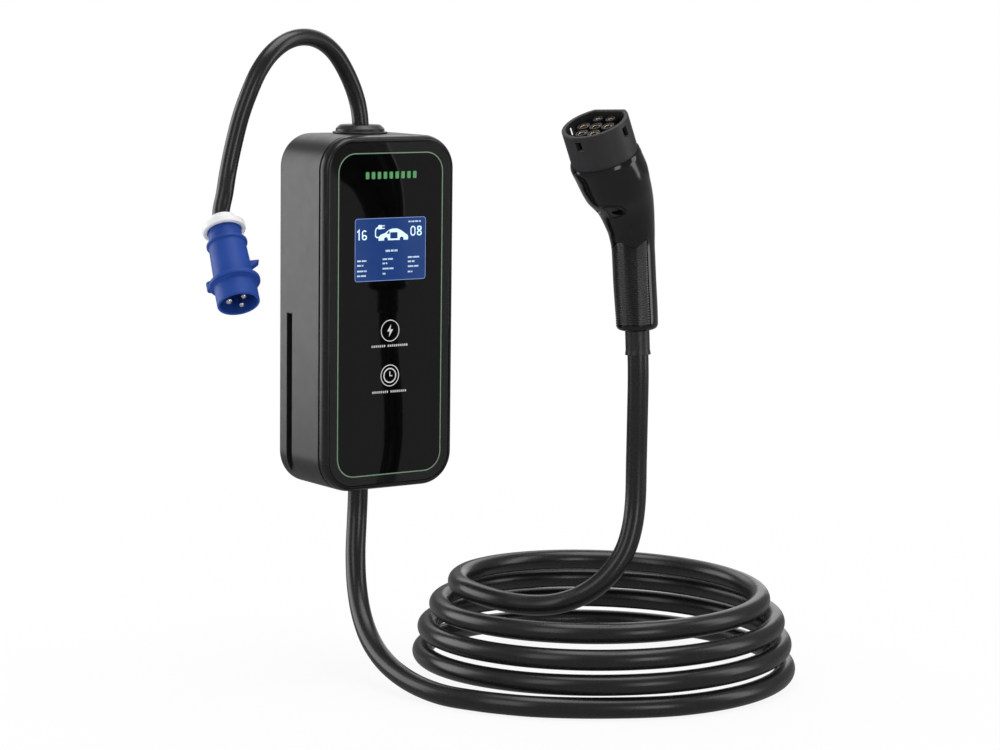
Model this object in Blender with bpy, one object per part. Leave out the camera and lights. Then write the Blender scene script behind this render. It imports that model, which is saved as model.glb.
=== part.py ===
# Portable charger for electric cars: a control box for a wall rail, a short supply lead with a
# three-pin plug, and a coiled charging cable with a seven-contact vehicle connector.
# Metres, +Z up. The origin is the centre of the box's back face, and the front looks along -Y.

import math

import bmesh
import bpy
import numpy as np
from mathutils import Matrix, Vector

# Clearances
gap = 0.0003
cord_gap = 0.0003
weld = 0.000002

# Control box
box_width = 0.127
box_height = 0.294
box_depth = 0.076
corner_radius = 0.028
back_edge_radius = 0.006
wall = 0.003
cover_depth = 0.0096
lip_radius = 0.0035
lip_flat = 0.0008
panel_recess = 0.0028
panel_thickness = 0.002
panel_bevel = 0.0004
cover_plate = 0.0026
seal_width = 0.001
seal_height = 0.0013
seal_inset = 0.0012
corner_steps = 5

# Rail grooves in the sides, for a wall bracket
groove_top = -0.0015
groove_from_back = 0.0150
groove_width = 0.0088
groove_depth = 0.005
groove_web = 0.0025

# Housing screws
screw_inset = 0.015
pillar_radius = 0.0045
screw_radius = 0.0014
screw_head_radius = 0.0032
screw_head_height = 0.0026
screw_head_depth = 0.0042

# Display and touch marks
display_width = 0.070
display_height = 0.0525
display_from_top = 0.0934
display_corner = 0.0025
display_setback = 0.0004
tray_width = 0.080
tray_height = 0.062
tray_depth = 0.0045
touch_heights = (-0.0142, -0.0517)
touch_radius = 0.0065

# Boards and what they carry
board_thickness = 0.0016
control_board_side_margin = 0.0155
control_board_top_margin = 0.047
control_board_foot_margin = 0.071
main_board_side_margin = 0.0115
main_board_end_margin = 0.031
main_board_standoff = 0.010
standoff_radius = 0.003
standoff_inset = 0.006
relay_width = 0.029
relay_height = 0.025
relay_length = 0.033
relay_places = {"relay_live": (-0.021, 0.042), "relay_neutral": (0.021, 0.042)}
transformer_width = 0.036
transformer_height = 0.028
transformer_length = 0.032
transformer_place = (0.026, -0.032)
sensor_place = (-0.022, -0.032)
sensor_outer_radius = 0.017
sensor_inner_radius = 0.009
sensor_height = 0.014
terminal_width = 0.062
terminal_height = 0.018
terminal_length = 0.016
terminal_from_end = 0.051

# Cords and the glands they leave by
lead_diameter = 0.014
cable_diameter = 0.017
gland_from_back = 0.027
gland_flange_radius = 0.023
gland_flange_height = 0.0013
gland_body_radius = 0.0205
gland_body_height = 0.0024
gland_top_radius = 0.0165
gland_height = 0.0074
gland_neck_radius = 0.0130
gland_nut_radius = 0.0170
gland_nut_height = 0.003
low_gland_height = 0.0045
clamp_width = 0.034
clamp_height = 0.035
clamp_length = 0.012
clamp_from_end = 0.014
cord_start_from_end = 0.019
straight_exit = 0.0115
straight_entry = 0.0050
tube_step = 0.95
tube_resolution = 3

# Plug: lengths run from the collar's cord end to the tip of the nose
plug_axis = Vector((-0.146, -0.592, -0.793)).normalized()
plug_side = Vector((0.872, -0.455, 0.179))
plug_end = Vector((-0.1508, -0.0596, 0.0823))
collar_nut_radius = 0.0130
collar_nut_length = 0.0066
collar_ring_radius = 0.0174
collar_length = 0.0122
neck_radius = 0.0134
neck_start = 0.0088
neck_flange_radius = 0.0165
neck_flange_at = 0.0230
neck_flange_width = 0.0026
grip_radius_back = 0.0150
grip_radius_front = 0.0160
plug_flange_radius = 0.0206
plug_flange_at = 0.0590
plug_flange_width = 0.0034
nose_radius = 0.0170
plug_length = 0.0802
sleeve_wall = 0.002
sleeve_depth = 0.024
insert_thickness = 0.010
insert_step = 0.0020
plug_bore_radius = 0.0105
pin_circle_radius = 0.0074
pin_tip_setback = 0.0018
pin_radii = {"plug_pin_earth": 0.0030, "plug_pin_live": 0.0024, "plug_pin_neutral": 0.0024}
pin_first_angle = math.radians(169)
key_angle = math.radians(192)
key_radius = 0.0038
key_reach = 0.0022
key_rise = 0.0048
hook_angle = math.radians(-8)
hook_half_width = 0.0035
hook_start = 0.0157
hook_end = 0.0093
hook_reach = 0.0062
hook_edge = 0.0012

# Vehicle connector: its frame stands at the lower end of the handle, with its own Z up the handle
connector_place = Vector((0.1161, -0.2601, -0.0014))
connector_axis = Vector((-0.0386, 0.0270, 0.9989)).normalized()
connector_lean_side = Vector((-0.956, -0.293, 0.0))
nose_tilt = math.radians(24)
mouth_centre = (0.0369, 0.1410)
mouth_radius = 0.0289
mouth_depth = 0.006
mouth_steps = 32
connector_nose_radius = 0.027
connector_nose_length = 0.0298
connector_nose_wall = 0.0034
connector_nose_flat = 0.0229
connector_recess = 0.021
slot_width = 0.0055
slot_length = 0.008
slot_from_face = 0.004
handle_half = 0.0180
boot_radius = 0.0098
boot_length = 0.020
boot_flare = 0.0006
handle_bore_depth = 0.016
grip_from = 0.0045
grip_to = 0.0680
grip_peak = 0.0055
grip_half_angle = math.radians(78)
grip_depth = 0.0022
pocket_rows = 7
rib_height = 0.0005
grip_side_gap = 0.0004
grip_end_gap = 0.0006
grip_columns = 11
scallop_angle = math.radians(27)
scallop_height_share = 0.70
scallop_half_length = 0.0100
scallop_half_height = 0.0046
scallop_depth = 0.0030
scallop_slope = math.radians(24)
scallop_overhang = math.radians(-30)
power_barrel_radius = 0.0053
signal_barrel_radius = 0.0041
barrel_wall = 0.0014
barrel_setback = 0.003
carrier_base = 0.005
contact_wall = 0.0010
contact_setback = 0.0012
middle_row_pitch = 0.0116
lower_row_at = 0.0119
lower_row_half = 0.0057
upper_row_at = 0.0125
upper_row_half = 0.0060
contact_layout = {
    "contact_1": (0.0, 0.0, power_barrel_radius),
    "contact_2": (0.0, -middle_row_pitch, power_barrel_radius),
    "contact_3": (0.0, middle_row_pitch, power_barrel_radius),
    "contact_4": (lower_row_at, -lower_row_half, power_barrel_radius),
    "contact_5": (lower_row_at, lower_row_half, power_barrel_radius),
    "contact_6": (-upper_row_at, -upper_row_half, signal_barrel_radius),
    "contact_7": (-upper_row_at, upper_row_half, signal_barrel_radius),
}

# Cord routes: the stretches that are not coiled, as points chosen by hand
lead_route = (
    (-0.0040, -0.0270, 0.1768), (-0.0143, -0.0284, 0.1972), (-0.0297, -0.0326, 0.2147),
    (-0.0480, -0.0384, 0.2245), (-0.0675, -0.0444, 0.2271), (-0.0865, -0.0500, 0.2231),
    (-0.1023, -0.0535, 0.2135), (-0.1141, -0.0550, 0.2000), (-0.1227, -0.0547, 0.1832),
    (-0.1290, -0.0524, 0.1648), (-0.1346, -0.0500, 0.1411), (-0.1398, -0.0497, 0.1180),
    (-0.1451, -0.0540, 0.1023),
)
drop_route = (
    (-0.0018, -0.0284, -0.1808), (-0.0068, -0.0346, -0.2077), (-0.0126, -0.0459, -0.2319),
    (-0.0186, -0.0629, -0.2536), (-0.0234, -0.0846, -0.2710), (-0.0262, -0.1126, -0.2845),
    (-0.0260, -0.1487, -0.2935), (-0.0210, -0.1830, -0.2973), (-0.0097, -0.2172, -0.2973),
)
riser_route = (
    (0.0649, -0.2285, -0.2246), (0.0809, -0.2405, -0.2170), (0.0945, -0.2494, -0.2052),
    (0.1041, -0.2539, -0.1931), (0.1115, -0.2562, -0.1800), (0.1170, -0.2568, -0.1633),
    (0.1203, -0.2562, -0.1438), (0.1207, -0.2563, -0.1062), (0.1189, -0.2589, -0.0681),
    (0.1178, -0.2604, -0.0423),
)

# Coil: radius of the cable's centreline and its height above the floor turn, turn by turn
coil_centre = (0.1547, -0.1703)
coil_floor = -0.2973
coil_radii = (0.1546, 0.1515, 0.1470, 0.1356, 0.1228)
coil_heights = (0.0, 0.0178, 0.0370, 0.0562, 0.0706)

seam_y = -(box_depth - cover_depth)
cover_back_y = seam_y - gap
panel_front_y = -(box_depth - panel_recess) - gap - panel_thickness
plate_front_y = -(box_depth - panel_recess)
plate_back_y = plate_front_y + cover_plate
panel_inset = lip_radius + lip_flat + gap
main_board_y = -(wall + main_board_standoff)
display_z = box_height / 2 - display_from_top
control_board_z = (control_board_foot_margin - control_board_top_margin) / 2
control_board_size = (
    box_width - 2 * control_board_side_margin,
    box_height - control_board_top_margin - control_board_foot_margin,
)
main_board_size = (box_width - 2 * main_board_side_margin, box_height - 2 * main_board_end_margin)
terminal_z = box_height / 2 - terminal_from_end
screw_x = box_width / 2 - screw_inset
screw_z = box_height / 2 - screw_inset


def clear_scene():
    for old in list(bpy.data.objects):
        bpy.data.objects.remove(old)


def finish_material(name, colour, roughness, metallic=0.0):
    found = bpy.data.materials.get(name)
    if found:
        return found
    made = bpy.data.materials.new(name)
    made.use_nodes = True
    shader = made.node_tree.nodes["Principled BSDF"]
    shader.inputs["Base Color"].default_value = (*colour, 1.0)
    shader.inputs["Roughness"].default_value = roughness
    shader.inputs["Metallic"].default_value = metallic
    return made


def materials():
    return {
        "housing": finish_material("satin_black_housing", (0.030, 0.030, 0.032), 0.42),
        "cover": finish_material("satin_black_cover", (0.014, 0.014, 0.016), 0.30),
        "panel": finish_material("gloss_black_panel", (0.004, 0.004, 0.005), 0.06),
        "display": finish_material("display_glass", (0.010, 0.035, 0.22), 0.08),
        "board": finish_material("circuit_board", (0.02, 0.12, 0.05), 0.5),
        "case": finish_material("component_case", (0.05, 0.05, 0.06), 0.5),
        "terminal": finish_material("terminal_green", (0.03, 0.20, 0.08), 0.5),
        "copper": finish_material("copper", (0.72, 0.33, 0.17), 0.35, 1.0),
        "steel": finish_material("zinc_steel", (0.55, 0.55, 0.56), 0.35, 1.0),
        "rubber": finish_material("black_rubber", (0.012, 0.012, 0.013), 0.55),
        "sheath": finish_material("cable_sheath", (0.016, 0.017, 0.017), 0.42),
        "white": finish_material("white_plastic", (0.80, 0.80, 0.80), 0.40),
        "blue": finish_material("blue_plastic", (0.018, 0.065, 0.30), 0.38),
        "pin": finish_material("nickel_pin", (0.70, 0.70, 0.68), 0.22, 1.0),
        "gloss": finish_material("gloss_black_handle", (0.008, 0.008, 0.009), 0.12),
        "grip": finish_material("ribbed_grip", (0.018, 0.019, 0.019), 0.35),
        "nose": finish_material("matt_grey_nose", (0.028, 0.029, 0.031), 0.60),
        "silver": finish_material("silver_contact", (0.62, 0.60, 0.56), 0.25, 1.0),
    }


def object_of(name, mesh, material=None, smooth_degrees=35):
    made = bpy.data.objects.new(name, mesh)
    bpy.context.scene.collection.objects.link(made)
    if material:
        mesh.materials.append(material)
    mesh.shade_smooth()
    mesh.set_sharp_from_angle(angle=math.radians(smooth_degrees))
    return made


def helper(made):
    made.hide_render = True
    made.display_type = "WIRE"
    return made


# A loft joins rings of equally many points, and welds points that fall together. Open lofts are
# capped at both ends, and a closed one joins its last ring to its first.
def loft_mesh(name, rings, closed=False):
    rings = np.asarray(rings, float)
    count, around = rings.shape[:2]
    built = bmesh.new()
    rows = [[built.verts.new(point) for point in ring] for ring in rings]
    spans = count if closed else count - 1
    for i in range(spans):
        lower, upper = rows[i], rows[(i + 1) % count]
        for j in range(around):
            k = (j + 1) % around
            built.faces.new((lower[j], lower[k], upper[k], upper[j]))
    if not closed:
        built.faces.new(rows[0][::-1])
        built.faces.new(rows[-1])
    bmesh.ops.remove_doubles(built, verts=built.verts, dist=weld)
    bmesh.ops.recalc_face_normals(built, faces=built.faces)
    mesh = bpy.data.meshes.new(name)
    built.to_mesh(mesh)
    built.free()
    return mesh


# Turned solids: the profile holds (radius, height) pairs about the Z axis. A closed profile
# makes a ring with a bore, and an open one is capped at both ends.
def turned_mesh(name, profile, steps, closed=False):
    turn = np.linspace(0, 2 * math.pi, steps, endpoint=False)
    rings = [[(r * math.cos(a), r * math.sin(a), z) for a in turn] for r, z in profile]
    return loft_mesh(name, rings, closed)


def box_mesh(name, low, high):
    (x0, y0, z0), (x1, y1, z1) = low, high
    lower = [(x0, y0, z0), (x1, y0, z0), (x1, y1, z0), (x0, y1, z0)]
    upper = [(x, y, z1) for x, y, _ in lower]
    return loft_mesh(name, [lower, upper])


def joined_mesh(name, meshes):
    built = bmesh.new()
    for mesh in meshes:
        built.from_mesh(mesh)
    made = bpy.data.meshes.new(name)
    built.to_mesh(made)
    built.free()
    return made


def moved_mesh(mesh, matrix):
    mesh.transform(matrix)
    return mesh


def boolean(target, meshes, operation, name):
    other = helper(object_of(name, joined_mesh(name, meshes)))
    modifier = target.modifiers.new(name, "BOOLEAN")
    modifier.operation = operation
    modifier.object = other
    modifier.solver = "EXACT"
    return other


# Outline of a rounded rectangle in X and Z, drawn in from the given size by an inset.
def rounded_outline(width, height, radius, inset, y, steps=corner_steps):
    radius = radius - inset
    half_w = width / 2 - inset - radius
    half_h = height / 2 - inset - radius
    points = []
    for corner, (sx, sz) in enumerate(((1, 1), (-1, 1), (-1, -1), (1, -1))):
        for k in range(steps + 1):
            a = math.radians(90 * corner + 90 * k / steps)
            points.append((sx * half_w + radius * math.cos(a), y, sz * half_h + radius * math.sin(a)))
    return points


def box_ring(inset, y):
    return rounded_outline(box_width, box_height, corner_radius, inset, y)


def along_y(mesh, x, z, y=0.0):
    """Turns a solid made about Z so that its +Z points along -Y, at the given place."""
    return moved_mesh(mesh, Matrix.Translation((x, y, z)) @ Matrix.Rotation(math.radians(90), 4, "X"))


# X of the side wall at a height, as the corner arc draws in below the straight side
def side_x(z):
    past = abs(z) - (box_height / 2 - corner_radius)
    if past <= 0:
        return box_width / 2
    return box_width / 2 - corner_radius + math.sqrt(corner_radius**2 - past**2)


def rear_housing(finish):
    arc = [
        (back_edge_radius * (1 - math.sin(a)), -back_edge_radius * (1 - math.cos(a)))
        for a in np.radians((0, 22.5, 45, 67.5, 90))
    ]
    edge = 0.0005
    fillet = 0.003
    profile = arc + [
        (0.0, seam_y + edge),
        (edge, seam_y),
        (wall, seam_y),
        (wall, -wall - fillet),
        (wall + fillet * 0.3, -wall - fillet * 0.3),
        (wall + fillet, -wall),
    ]
    shell = object_of("rear_housing", loft_mesh("rear_housing", [box_ring(i, y) for i, y in profile]), finish)

    # The groove is backed by a rib that follows the side wall round to where the groove runs out
    floor_x = box_width / 2 - groove_depth
    run_out = math.sqrt(2 * corner_radius * groove_depth - groove_depth**2)
    straight_end = -(box_height / 2 - corner_radius)
    rib_heights = [groove_top + groove_web] + [straight_end - run_out * k / 4 for k in range(5)]
    rib_near = -(groove_from_back - groove_web)
    rib_far = -(groove_from_back + groove_width + groove_web)
    adds = []
    cuts = []
    for side in (1, -1):
        rings = []
        for z in rib_heights:
            inner = side * (floor_x - groove_web)
            outer = side * (side_x(z) - wall / 2)
            rings.append([(inner, rib_near, z), (outer, rib_near, z), (outer, rib_far, z), (inner, rib_far, z)])
        adds.append(loft_mesh("groove_rib", rings))
        low_x, high_x = sorted((side * floor_x, side * box_width))
        cuts.append(
            box_mesh(
                "groove",
                (low_x, -(groove_from_back + groove_width), -box_height),
                (high_x, -groove_from_back, groove_top),
            )
        )

    # Pillars take the housing screws, and standoffs carry the main board
    inside = -wall / 2
    for x in (screw_x, -screw_x):
        for z in (screw_z, -screw_z):
            pillar = [(pillar_radius, -inside), (pillar_radius, -seam_y)]
            adds.append(along_y(turned_mesh("pillar", pillar, 10), x, z))
            bore = [
                (screw_head_radius + gap * 2, -0.001),
                (screw_head_radius + gap * 2, screw_head_depth),
                (screw_radius + gap, screw_head_depth),
                (screw_radius + gap, -seam_y + 0.001),
            ]
            cuts.append(along_y(turned_mesh("screw_bore", bore, 8), x, z))
    for x, z in board_corners(main_board_size, 0.0):
        post = [(standoff_radius, -inside), (standoff_radius, -main_board_y)]
        adds.append(along_y(turned_mesh("standoff", post, 6), x, z))
    for z in (box_height / 2, -box_height / 2):
        hole = [(gland_neck_radius + gap, z - wall * 2), (gland_neck_radius + gap, z + wall * 2)]
        cuts.append(moved_mesh(turned_mesh("gland_hole", hole, 24), Matrix.Translation((0, -gland_from_back, 0))))
    boolean(shell, adds, "UNION", "rear_housing_ribs_and_posts")
    boolean(shell, cuts, "DIFFERENCE", "rear_housing_grooves_and_holes")
    return shell


def board_corners(size, centre_z):
    return [
        (sx * (size[0] / 2 - standoff_inset), centre_z + sz * (size[1] / 2 - standoff_inset))
        for sx in (1, -1)
        for sz in (1, -1)
    ]


def front_cover(finish):
    channel_near = seal_inset - gap
    channel_far = seal_inset + seal_width + gap
    channel_y = cover_back_y - seal_height - gap
    lip_arc = [
        (lip_radius * (1 - math.cos(a)), -(box_depth - lip_radius) - lip_radius * math.sin(a))
        for a in np.radians((0, 22.5, 45, 67.5, 90))
    ]
    edge = 0.0005
    profile = [
        (wall + gap, plate_back_y),
        (wall + gap, cover_back_y),
        (channel_far, cover_back_y),
        (channel_far, channel_y),
        (channel_near, channel_y),
        (channel_near, cover_back_y),
        (edge, cover_back_y),
        (0.0, cover_back_y - edge),
        *lip_arc,
        (lip_radius + lip_flat * 0.6, -box_depth),
        (lip_radius + lip_flat, -(box_depth - lip_flat * 0.4)),
        (lip_radius + lip_flat, plate_front_y),
    ]
    cover = object_of("front_cover", loft_mesh("front_cover", [box_ring(i, y) for i, y in profile]), finish)
    adds = []
    cuts = []
    embedded = plate_back_y - cover_plate / 2
    for x in (screw_x, -screw_x):
        for z in (screw_z, -screw_z):
            boss = [(pillar_radius, -cover_back_y), (pillar_radius, -embedded)]
            adds.append(along_y(turned_mesh("boss", boss, 10), x, z))
            pilot = [(screw_radius + gap, -cover_back_y - 0.001), (screw_radius + gap, -plate_back_y)]
            cuts.append(along_y(turned_mesh("pilot", pilot, 8), x, z))
    board_front = plate_back_y + gap + tray_depth
    for x, z in board_corners(control_board_size, control_board_z):
        post = [(standoff_radius, -board_front), (standoff_radius, -embedded)]
        adds.append(along_y(turned_mesh("standoff", post, 6), x, z))
    window = [
        rounded_outline(
            display_width + 2 * gap, display_height + 2 * gap, display_corner + gap, 0, y
        )
        for y in (plate_back_y + 0.002, -box_depth)
    ]
    cuts.append(moved_mesh(loft_mesh("window", window), Matrix.Translation((0, 0, display_z))))
    boolean(cover, adds, "UNION", "front_cover_bosses")
    boolean(cover, cuts, "DIFFERENCE", "front_cover_window_and_pilots")
    return cover


def housing_seal(finish):
    near, far = seal_inset, seal_inset + seal_width
    back, front = cover_back_y, cover_back_y - seal_height
    rings = [box_ring(i, y) for i, y in ((near, back), (far, back), (far, front), (near, front))]
    return object_of("housing_seal", loft_mesh("housing_seal", rings, closed=True), finish)


def front_panel(finish):
    back = plate_front_y - gap
    profile = [
        (panel_inset, back),
        (panel_inset, panel_front_y + panel_bevel),
        (panel_inset + panel_bevel, panel_front_y),
    ]
    panel = object_of("front_panel", loft_mesh("front_panel", [box_ring(i, y) for i, y in profile]), finish)
    window = [
        rounded_outline(display_width + 2 * gap, display_height + 2 * gap, display_corner + gap, 0, y, 3)
        for y in (back + 0.001, panel_front_y - 0.001)
    ]
    cut = moved_mesh(loft_mesh("panel_window", window), Matrix.Translation((0, 0, display_z)))
    boolean(panel, [cut], "DIFFERENCE", "front_panel_window")
    return panel


# The display's glass stands in the window, on a tray behind the cover's plate
def display_module(finish):
    tray_front = plate_back_y + gap
    rings = [
        rounded_outline(display_width, display_height, display_corner, 0, panel_front_y + display_setback, 3),
        rounded_outline(display_width, display_height, display_corner, 0, tray_front, 3),
        rounded_outline(tray_width, tray_height, display_corner, 0, tray_front, 3),
        rounded_outline(tray_width, tray_height, display_corner, 0, tray_front + tray_depth - gap, 3),
    ]
    mesh = moved_mesh(loft_mesh("display_module", rings), Matrix.Translation((0, 0, display_z)))
    return object_of("display_module", mesh, finish)


def board(name, finish, size, centre_z, front_y):
    rings = [
        rounded_outline(*size, 0.002, 0, y, 2) for y in (front_y, front_y + board_thickness)
    ]
    return object_of(name, moved_mesh(loft_mesh(name, rings), Matrix.Translation((0, 0, centre_z))), finish)


def touch_pads(finish):
    back = plate_back_y + gap + tray_depth - gap
    for name, z in zip(("touch_pad_upper", "touch_pad_lower"), touch_heights):
        front = plate_back_y + gap
        waist = (front + back) / 2
        profile = [
            (touch_radius, -front),
            (touch_radius, -(front + 0.0008)),
            (touch_radius * 0.6, -waist),
            (touch_radius * 0.6, -back),
        ]
        object_of(name, along_y(turned_mesh(name, profile, 10), 0, z), finish)


# A component stands on the main board with its base a gap away, and its height runs towards the front
def component(name, finish, size, place):
    width, height, length = size
    x, z = place
    base = main_board_y - gap - board_thickness - gap
    edge = 0.0012
    rings = [
        rounded_outline(width, length, edge * 2, 0, base, 1),
        rounded_outline(width, length, edge * 2, 0, base - height + edge, 1),
        rounded_outline(width, length, edge * 2, edge, base - height, 1),
    ]
    mesh = moved_mesh(loft_mesh(name, rings), Matrix.Translation((x, 0, z)))
    return object_of(name, mesh, finish)


def electronics(finish):
    control_front = plate_back_y + gap + tray_depth
    board("control_board", finish["board"], control_board_size, control_board_z, control_front + gap)
    board("main_board", finish["board"], main_board_size, 0.0, main_board_y - gap - board_thickness)
    touch_pads(finish["copper"])
    for name, place in relay_places.items():
        component(name, finish["case"], (relay_width, relay_height, relay_length), place)
    transformer_size = (transformer_width, transformer_height, transformer_length)
    component("power_transformer", finish["case"], transformer_size, transformer_place)
    terminal_size = (terminal_width, terminal_height, terminal_length)
    component("input_terminal_block", finish["terminal"], terminal_size, (0, terminal_z))
    component("output_terminal_block", finish["terminal"], terminal_size, (0, -terminal_z))
    base = -(main_board_y - gap - board_thickness - gap)
    ring = [
        (sensor_inner_radius, base),
        (sensor_outer_radius, base),
        (sensor_outer_radius, base + sensor_height),
        (sensor_inner_radius, base + sensor_height),
    ]
    sensor = along_y(turned_mesh("leakage_sensor", ring, 18, closed=True), *sensor_place)
    object_of("leakage_sensor", sensor, finish["copper"])


def housing_screws(finish):
    head_seat = screw_head_depth - gap
    profile = [
        (screw_head_radius * 0.75, head_seat - screw_head_height),
        (screw_head_radius, head_seat - screw_head_height * 0.6),
        (screw_head_radius, head_seat),
        (screw_radius, head_seat),
        (screw_radius, -plate_back_y - gap),
    ]
    mesh = along_y(turned_mesh("housing_screw", profile, 8), 0, 0)
    places = [(x, z) for z in (screw_z, -screw_z) for x in (screw_x, -screw_x)]
    for number, (x, z) in enumerate(places, 1):
        screw = object_of(f"housing_screw_{number}", mesh, finish if number == 1 else None)
        screw.location = (x, 0, z)


# A grommet grips the wall between its outer flange and its inner nut. Heights run outwards from
# the wall's outer face.
def gland(name, finish, cord_radius, outer_profile, downwards):
    bore = cord_radius + cord_gap
    profile = [
        (bore, -wall - gap - gland_nut_height),
        (gland_nut_radius, -wall - gap - gland_nut_height),
        (gland_nut_radius, -wall - gap),
        (gland_neck_radius, -wall - gap),
        (gland_neck_radius, gap),
        *outer_profile,
    ]
    mesh = turned_mesh(name, profile, 20, closed=True)
    place = Matrix.Translation((0, -gland_from_back, box_height / 2))
    if downwards:
        place = Matrix.Rotation(math.radians(180), 4, "Y") @ place
    return object_of(name, moved_mesh(mesh, place), finish)


def glands(finish):
    lead_bore = lead_diameter / 2 + cord_gap
    flange_top = gap + gland_flange_height
    body_top = flange_top + gland_body_height
    upper = [
        (gland_flange_radius, gap),
        (gland_flange_radius, flange_top),
        (gland_body_radius, flange_top),
        (gland_body_radius, body_top),
        (gland_top_radius + 0.0012, gland_height - 0.0008),
        (gland_top_radius, gland_height),
        (lead_bore, gland_height),
    ]
    gland("top_gland", finish, lead_diameter / 2, upper, False)
    cable_bore = cable_diameter / 2 + cord_gap
    lower = [
        (gland_body_radius, gap),
        (gland_body_radius, flange_top),
        (cable_bore + 0.004, low_gland_height),
        (cable_bore, low_gland_height),
    ]
    gland("bottom_gland", finish, cable_diameter / 2, lower, True)


# A clamp block stands on the housing's floor and holds its cord with a bore
def clamp(name, finish, cord_radius, side):
    far = side * (box_height / 2 - clamp_from_end)
    near = far - side * clamp_length
    low_z, high_z = sorted((near, far))
    back = -wall - gap
    block = box_mesh(name, (-clamp_width / 2, back - clamp_height, low_z), (clamp_width / 2, back, high_z))
    made = object_of(name, block, finish)
    bore = [(cord_radius + cord_gap, low_z - 0.002), (cord_radius + cord_gap, high_z + 0.002)]
    cut = moved_mesh(turned_mesh("bore", bore, 16), Matrix.Translation((0, -gland_from_back, 0)))
    boolean(made, [cut], "DIFFERENCE", name + "_bore")


# A smooth curve through the points, by the centripetal Catmull-Rom rule. The first and last points
# only set the directions at the ends.
def smooth_through(points, spacing):
    smooth = []
    for a, b, c, d in zip(points, points[1:], points[2:], points[3:]):
        t0 = 0.0
        t1 = t0 + math.sqrt((b - a).length)
        t2 = t1 + math.sqrt((c - b).length)
        t3 = t2 + math.sqrt((d - c).length)
        pieces = max(2, round((c - b).length / spacing))
        for k in range(pieces):
            t = t1 + (t2 - t1) * k / pieces
            ab = a.lerp(b, (t - t0) / (t1 - t0))
            bc = b.lerp(c, (t - t1) / (t2 - t1))
            cd = c.lerp(d, (t - t2) / (t3 - t2))
            abc = ab.lerp(bc, (t - t0) / (t2 - t0))
            bcd = bc.lerp(cd, (t - t1) / (t3 - t1))
            smooth.append(abc.lerp(bcd, (t - t1) / (t2 - t1)))
    smooth.append(points[-2])
    return smooth


def evenly(points, spacing):
    places = np.array(points)
    run = np.concatenate([[0], np.cumsum(np.linalg.norm(np.diff(places, axis=0), axis=1))])
    wanted = np.linspace(0, run[-1], max(3, round(run[-1] / spacing) + 1))
    return np.stack([np.interp(wanted, run, places[:, k]) for k in range(3)], axis=1)


# A tube follows the route, and a straight stretch joins it to its first and last points
def tube(name, finish, route, diameter, first=None, last=None):
    route = [Vector(p) for p in route]
    before = first or route[0] * 2 - route[1]
    after = last or route[-1] * 2 - route[-2]
    points = list(evenly(smooth_through([before, *route, after], diameter / 4), diameter * tube_step))
    if first:
        points.insert(0, first)
    if last:
        points.append(last)
    curve = bpy.data.curves.new(name, "CURVE")
    curve.dimensions = "3D"
    spline = curve.splines.new("POLY")
    spline.points.add(len(points) - 1)
    for target, place in zip(spline.points, points):
        target.co = (*place, 1.0)
    curve.bevel_depth = diameter / 2
    curve.bevel_resolution = tube_resolution
    curve.use_fill_caps = True
    curve.materials.append(finish)
    made = bpy.data.objects.new(name, curve)
    bpy.context.scene.collection.objects.link(made)
    return made


def cords(finish):
    start = box_height / 2 - cord_start_from_end
    above_gland = Vector((0, -gland_from_back, box_height / 2 + straight_exit))
    before_collar = plug_end - plug_axis * straight_entry
    lead = [above_gland, *lead_route, before_collar]
    in_top = Vector((0, -gland_from_back, start))
    in_collar = plug_end + plug_axis * (neck_start - gap * 2)
    tube("supply_lead", finish, lead, lead_diameter, in_top, in_collar)

    below_gland = Vector((0, -gland_from_back, -box_height / 2 - straight_exit))
    in_bottom = Vector((0, -gland_from_back, -start))
    tube("charging_cable_drop", finish, [below_gland, *drop_route], cable_diameter, in_bottom)

    under_boot = connector_place - connector_axis * (boot_length + straight_entry)
    in_handle = connector_place + connector_axis * (handle_bore_depth - gap)
    tube("charging_cable_riser", finish, [*riser_route, under_boot], cable_diameter, None, in_handle)
    coil(finish)


# The ring's section follows the turns: its outer wall leans in with them, and its inner wall is the
# narrowest turn's inner side
def coil(finish):
    half = cable_diameter / 2
    floor = coil_floor - half
    top = coil_floor + coil_heights[-1] + half
    outer = [
        (radius + half, coil_floor + height + half * 0.5)
        for radius, height in zip(coil_radii, coil_heights)
    ]
    profile = [
        (coil_radii[0] + half, floor),
        *outer,
        (coil_radii[-1] + half * 0.4, top),
        (coil_radii[-1] - half, top),
        (coil_radii[0] - half, floor + half),
        (coil_radii[0] - half, floor),
    ]
    mesh = turned_mesh("charging_cable_coil", profile, 30, closed=True)
    mesh = moved_mesh(mesh, Matrix.Translation((*coil_centre, 0)))
    object_of("charging_cable_coil", mesh, finish)


# A frame with its own Z along the axis and its own X as near as may be to the side
def frame_along(name, place, axis, side):
    side = (side - axis * side.dot(axis)).normalized()
    across = axis.cross(side)
    made = bpy.data.objects.new(name, None)
    bpy.context.scene.collection.objects.link(made)
    made.matrix_world = Matrix.Translation(place) @ Matrix((side, across, axis)).transposed().to_4x4()
    return made


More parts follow.
